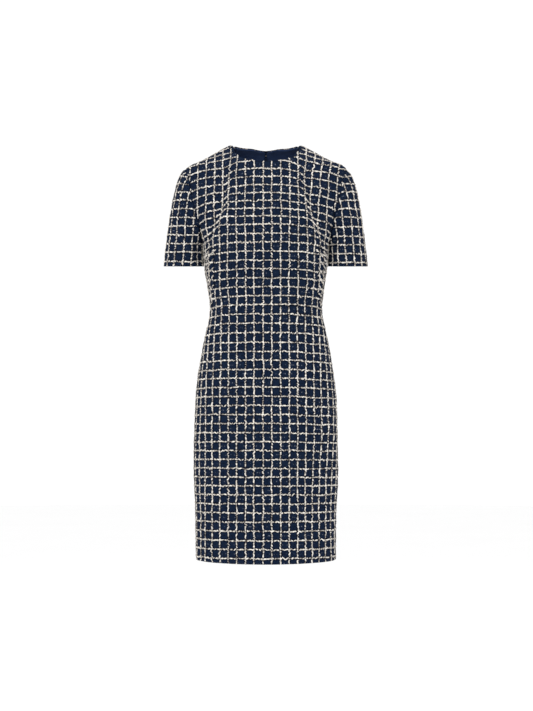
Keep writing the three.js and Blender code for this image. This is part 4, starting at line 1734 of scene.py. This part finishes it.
    def _panel(
        self, name: str, panel: Panel, folds: Sequence[Fold], phase: float, seed: int
    ) -> None:
        """Makes the front or one half of the back, and its facing.

        Args:
            name: The CAD node's name.
            panel: Its cut.
            folds: Its folds, which are mirrored on the right half of the back.
            phase: Shifts its slight waves.
            seed: Starts its yarn's random numbers.
        """
        cloth = panel.cloth()
        sign = panel.side.value if isinstance(panel, BackPanel) else 1
        for fold in folds:
            line = np.array(fold.line) * MM
            fold.press(cloth, self.form.points(sign * line[:, 0], line[:, 1], panel.face))
        undulate(cloth, self.waves, phase)
        facing = self._facing(panel, cloth)
        self._lining_piece(f"facing_{name}", facing, "facing", self.finishes.facing)
        dip_at_seams(cloth)
        self._tweed_piece(name, cloth, seed)

    def _sleeve(self, side: Side, seed: int) -> None:
        """One sleeve."""
        cloth = Sleeve(self.form, side, self.check).cloth()
        undulate(cloth, self.sleeve_waves, self.sleeve_phase + side.value)
        for fold in self.sleeve_folds:
            fold.press(cloth, np.array(fold.line) * np.array([side.value, 1, 1]) * MM)
        self._tweed_piece(side.names("sleeve"), cloth, seed, closed=True)

    def _facing(self, panel: Panel, cloth: Cloth) -> Cloth:
        """The facing inside a panel's neckline, which steps over the zip tape at a centre seam."""
        inside = np.flatnonzero(np.abs(panel.columns()) <= self.facing_reach)
        rows = slice(-self.facing_rows * (panel.finer - 1) - 1, None)
        cut = cloth.part(rows, slice(inside[0], inside[-1] + 1))
        depth = TWEED_THICKNESS + self.layer_gap
        if isinstance(panel, BackPanel):
            over_tape = fade(np.abs(cut.points[..., 0]), *self.facing_over_tape)
            depth = depth + (self.facing_thickness + self.layer_gap) * over_tape
        facing = cut.moved_in(depth)
        if isinstance(panel, BackPanel):
            edge = panel.side.value * self.facing_turn_back
            x = facing.points[..., 0]
            x[:, 0] = edge
            short = np.abs(x[:, 1:3]) < self.facing_turn_back
            x[:, 1:3] = np.where(short, edge * np.array(self.facing_turn), x[:, 1:3])
        facing.points[-1] += unit(facing.points[-2] - facing.points[-1]) * self.facing_edge
        return facing

    def _tape(self, side: Side) -> None:
        """One tape of the zip."""
        top = self.form.top_edge_z(np.array(self.tape_inner_edge), Face.BACK) - self.tape_top_gap
        z = np.linspace(self.zip_bottom_z, float(top), self.tape_rows)[:, None]
        outer = self.tape_outer_edge / self.form.tip_half_width * self.form.half_width(z)
        part = np.linspace(0.0, 1.0, self.tape_columns)
        x = side.value * mix(self.tape_inner_edge, outer - self.tape_inner_edge, part)
        z = np.broadcast_to(z, x.shape)
        points = self.form.points(x, z, Face.BACK)
        normals = self.form.normals(points, Face.BACK)
        cloth = Cloth(points, normals, x, z, np.zeros(x.shape, int))
        inner = cloth.moved_in(TWEED_THICKNESS + self.layer_gap)
        self._lining_piece(side.names("zip_tape"), inner, "zip_tape", self.finishes.tape)

    def _teeth(self, side: Side) -> None:
        """The coil of teeth on one tape, below the slider: each tooth lies between two of the other's."""
        top = float(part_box("zip_slider")[0][2]) - self.tooth_pitch
        count = int((top - self.zip_bottom_z) / self.tooth_pitch)
        z = top - (np.arange(count) + (0.5 if side is Side.LEFT else 0.0)) * self.tooth_pitch
        centre = self.form.points(np.zeros(count), z, Face.BACK)
        inwards = TWEED_THICKNESS + self.layer_gap + self.facing_thickness / 2
        centre -= self.form.normals(centre, Face.BACK) * inwards
        centre[:, 0] = side.value * (self.tooth[0] / 2 - self.tooth_overlap)
        built = bmesh.new()
        for place in centre:
            made = bmesh.ops.create_cube(built, size=1.0)["verts"]
            bmesh.ops.scale(built, verts=made, vec=self.tooth)
            bmesh.ops.translate(built, verts=made, vec=place)
        teeth = meshed(side.names("zip_teeth"), built)
        modify(teeth, "soft edges", "BEVEL", width=self.tooth_edge)
        self._dressed(teeth, "zip_tape", self.finishes.tape)

    def _zip_head(self) -> None:
        """The slider and pull keep their CAD shape."""
        for node in ("zip_slider", "zip_pull"):
            piece = bpy.data.objects[node]
            piece.data.materials.clear()
            piece.data.materials.append(self.finishes.enamel)
            LOG.info("%s: its CAD shape", node)


# --- Studio ---------------------------------------------------------


class SoftLight(NamedTuple):
    """A square soft light: where it stands, what it faces, the length of its sides, and its watts."""

    name: str
    place: Place
    target: Place
    size: float
    power: float


@dataclass
class Studio:
    """A white floor, soft lights and the camera."""

    floor_z: float = -1.5
    floor_radius: float = 14.0
    floor_sides: int = 64
    sky: Colour = (1.0, 1.0, 1.0)
    sky_strength: float = 1.05
    lights: tuple[SoftLight, ...] = (
        SoftLight("key", (-1.9, -2.8, 1.0), (0.0, 0.0, -0.45), 1.8, 30.0),
        SoftLight("fill", (2.2, -2.6, 0.1), (0.0, 0.0, -0.5), 2.2, 8.0),
        SoftLight("top", (0.0, -0.4, 2.2), (0.0, 0.0, -0.5), 2.0, 16.0),
    )
    camera_place: Place = (0.0015, -3.0, -0.707)
    camera_tilt: float = 3.95
    lens: float = 64.8

    def build(self) -> None:
        """Builds all of it."""
        self._floor()
        self._world()
        for light in self.lights:
            self._light(light)
        self._camera()
        view = bpy.context.scene.view_settings
        view.view_transform = "Standard"
        view.look = "None"

    def _floor(self) -> None:
        """The floor, well below the hem."""
        built = bmesh.new()
        bmesh.ops.create_circle(
            built, cap_ends=True, segments=self.floor_sides, radius=self.floor_radius
        )
        bmesh.ops.translate(built, verts=built.verts, vec=(0.0, 0.0, self.floor_z))
        floor = meshed("floor", built)
        floor.data.materials.append(PaleFloor().material())
        floor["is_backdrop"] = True

    def _world(self) -> None:
        """Even white light from all round."""
        world = bpy.data.worlds.new("studio")
        world.use_nodes = True
        background = world.node_tree.nodes["Background"]
        background.inputs["Color"].default_value = (*self.sky, 1.0)
        background.inputs["Strength"].default_value = self.sky_strength
        bpy.context.scene.world = world

    def _light(self, light: SoftLight) -> None:
        """Adds a light."""
        data = bpy.data.lights.new(light.name, "AREA")
        data.size = light.size
        data.energy = light.power
        lamp = placed(light.name, data)
        lamp.location = light.place
        facing = Vector(light.target) - Vector(light.place)
        lamp.rotation_euler = facing.to_track_quat("-Z", "Y").to_euler()

    def _camera(self) -> None:
        """Stands level with the hips and looks up a little."""
        data = bpy.data.cameras.new("camera")
        data.lens = self.lens
        camera = placed("camera", data)
        camera.location = self.camera_place
        camera.rotation_euler = (math.radians(90 + self.camera_tilt), 0.0, 0.0)
        bpy.context.scene.camera = camera


def main() -> None:
    """Loads the frame, builds the studio and the dress round it, and works out their bounds."""
    logging.basicConfig(level=logging.INFO, format="%(message)s")
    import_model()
    frame_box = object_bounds()
    Studio().build()
    check = Check()
    Dress(Finishes.mixed(check), check).build()
    bpy.context.view_layer.update()
    boxes = {"frame": frame_box, "visual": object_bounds()}
    {name: [list(corner) for corner in box] for name, box in boxes.items()}


if __name__ == "__main__":
    main()
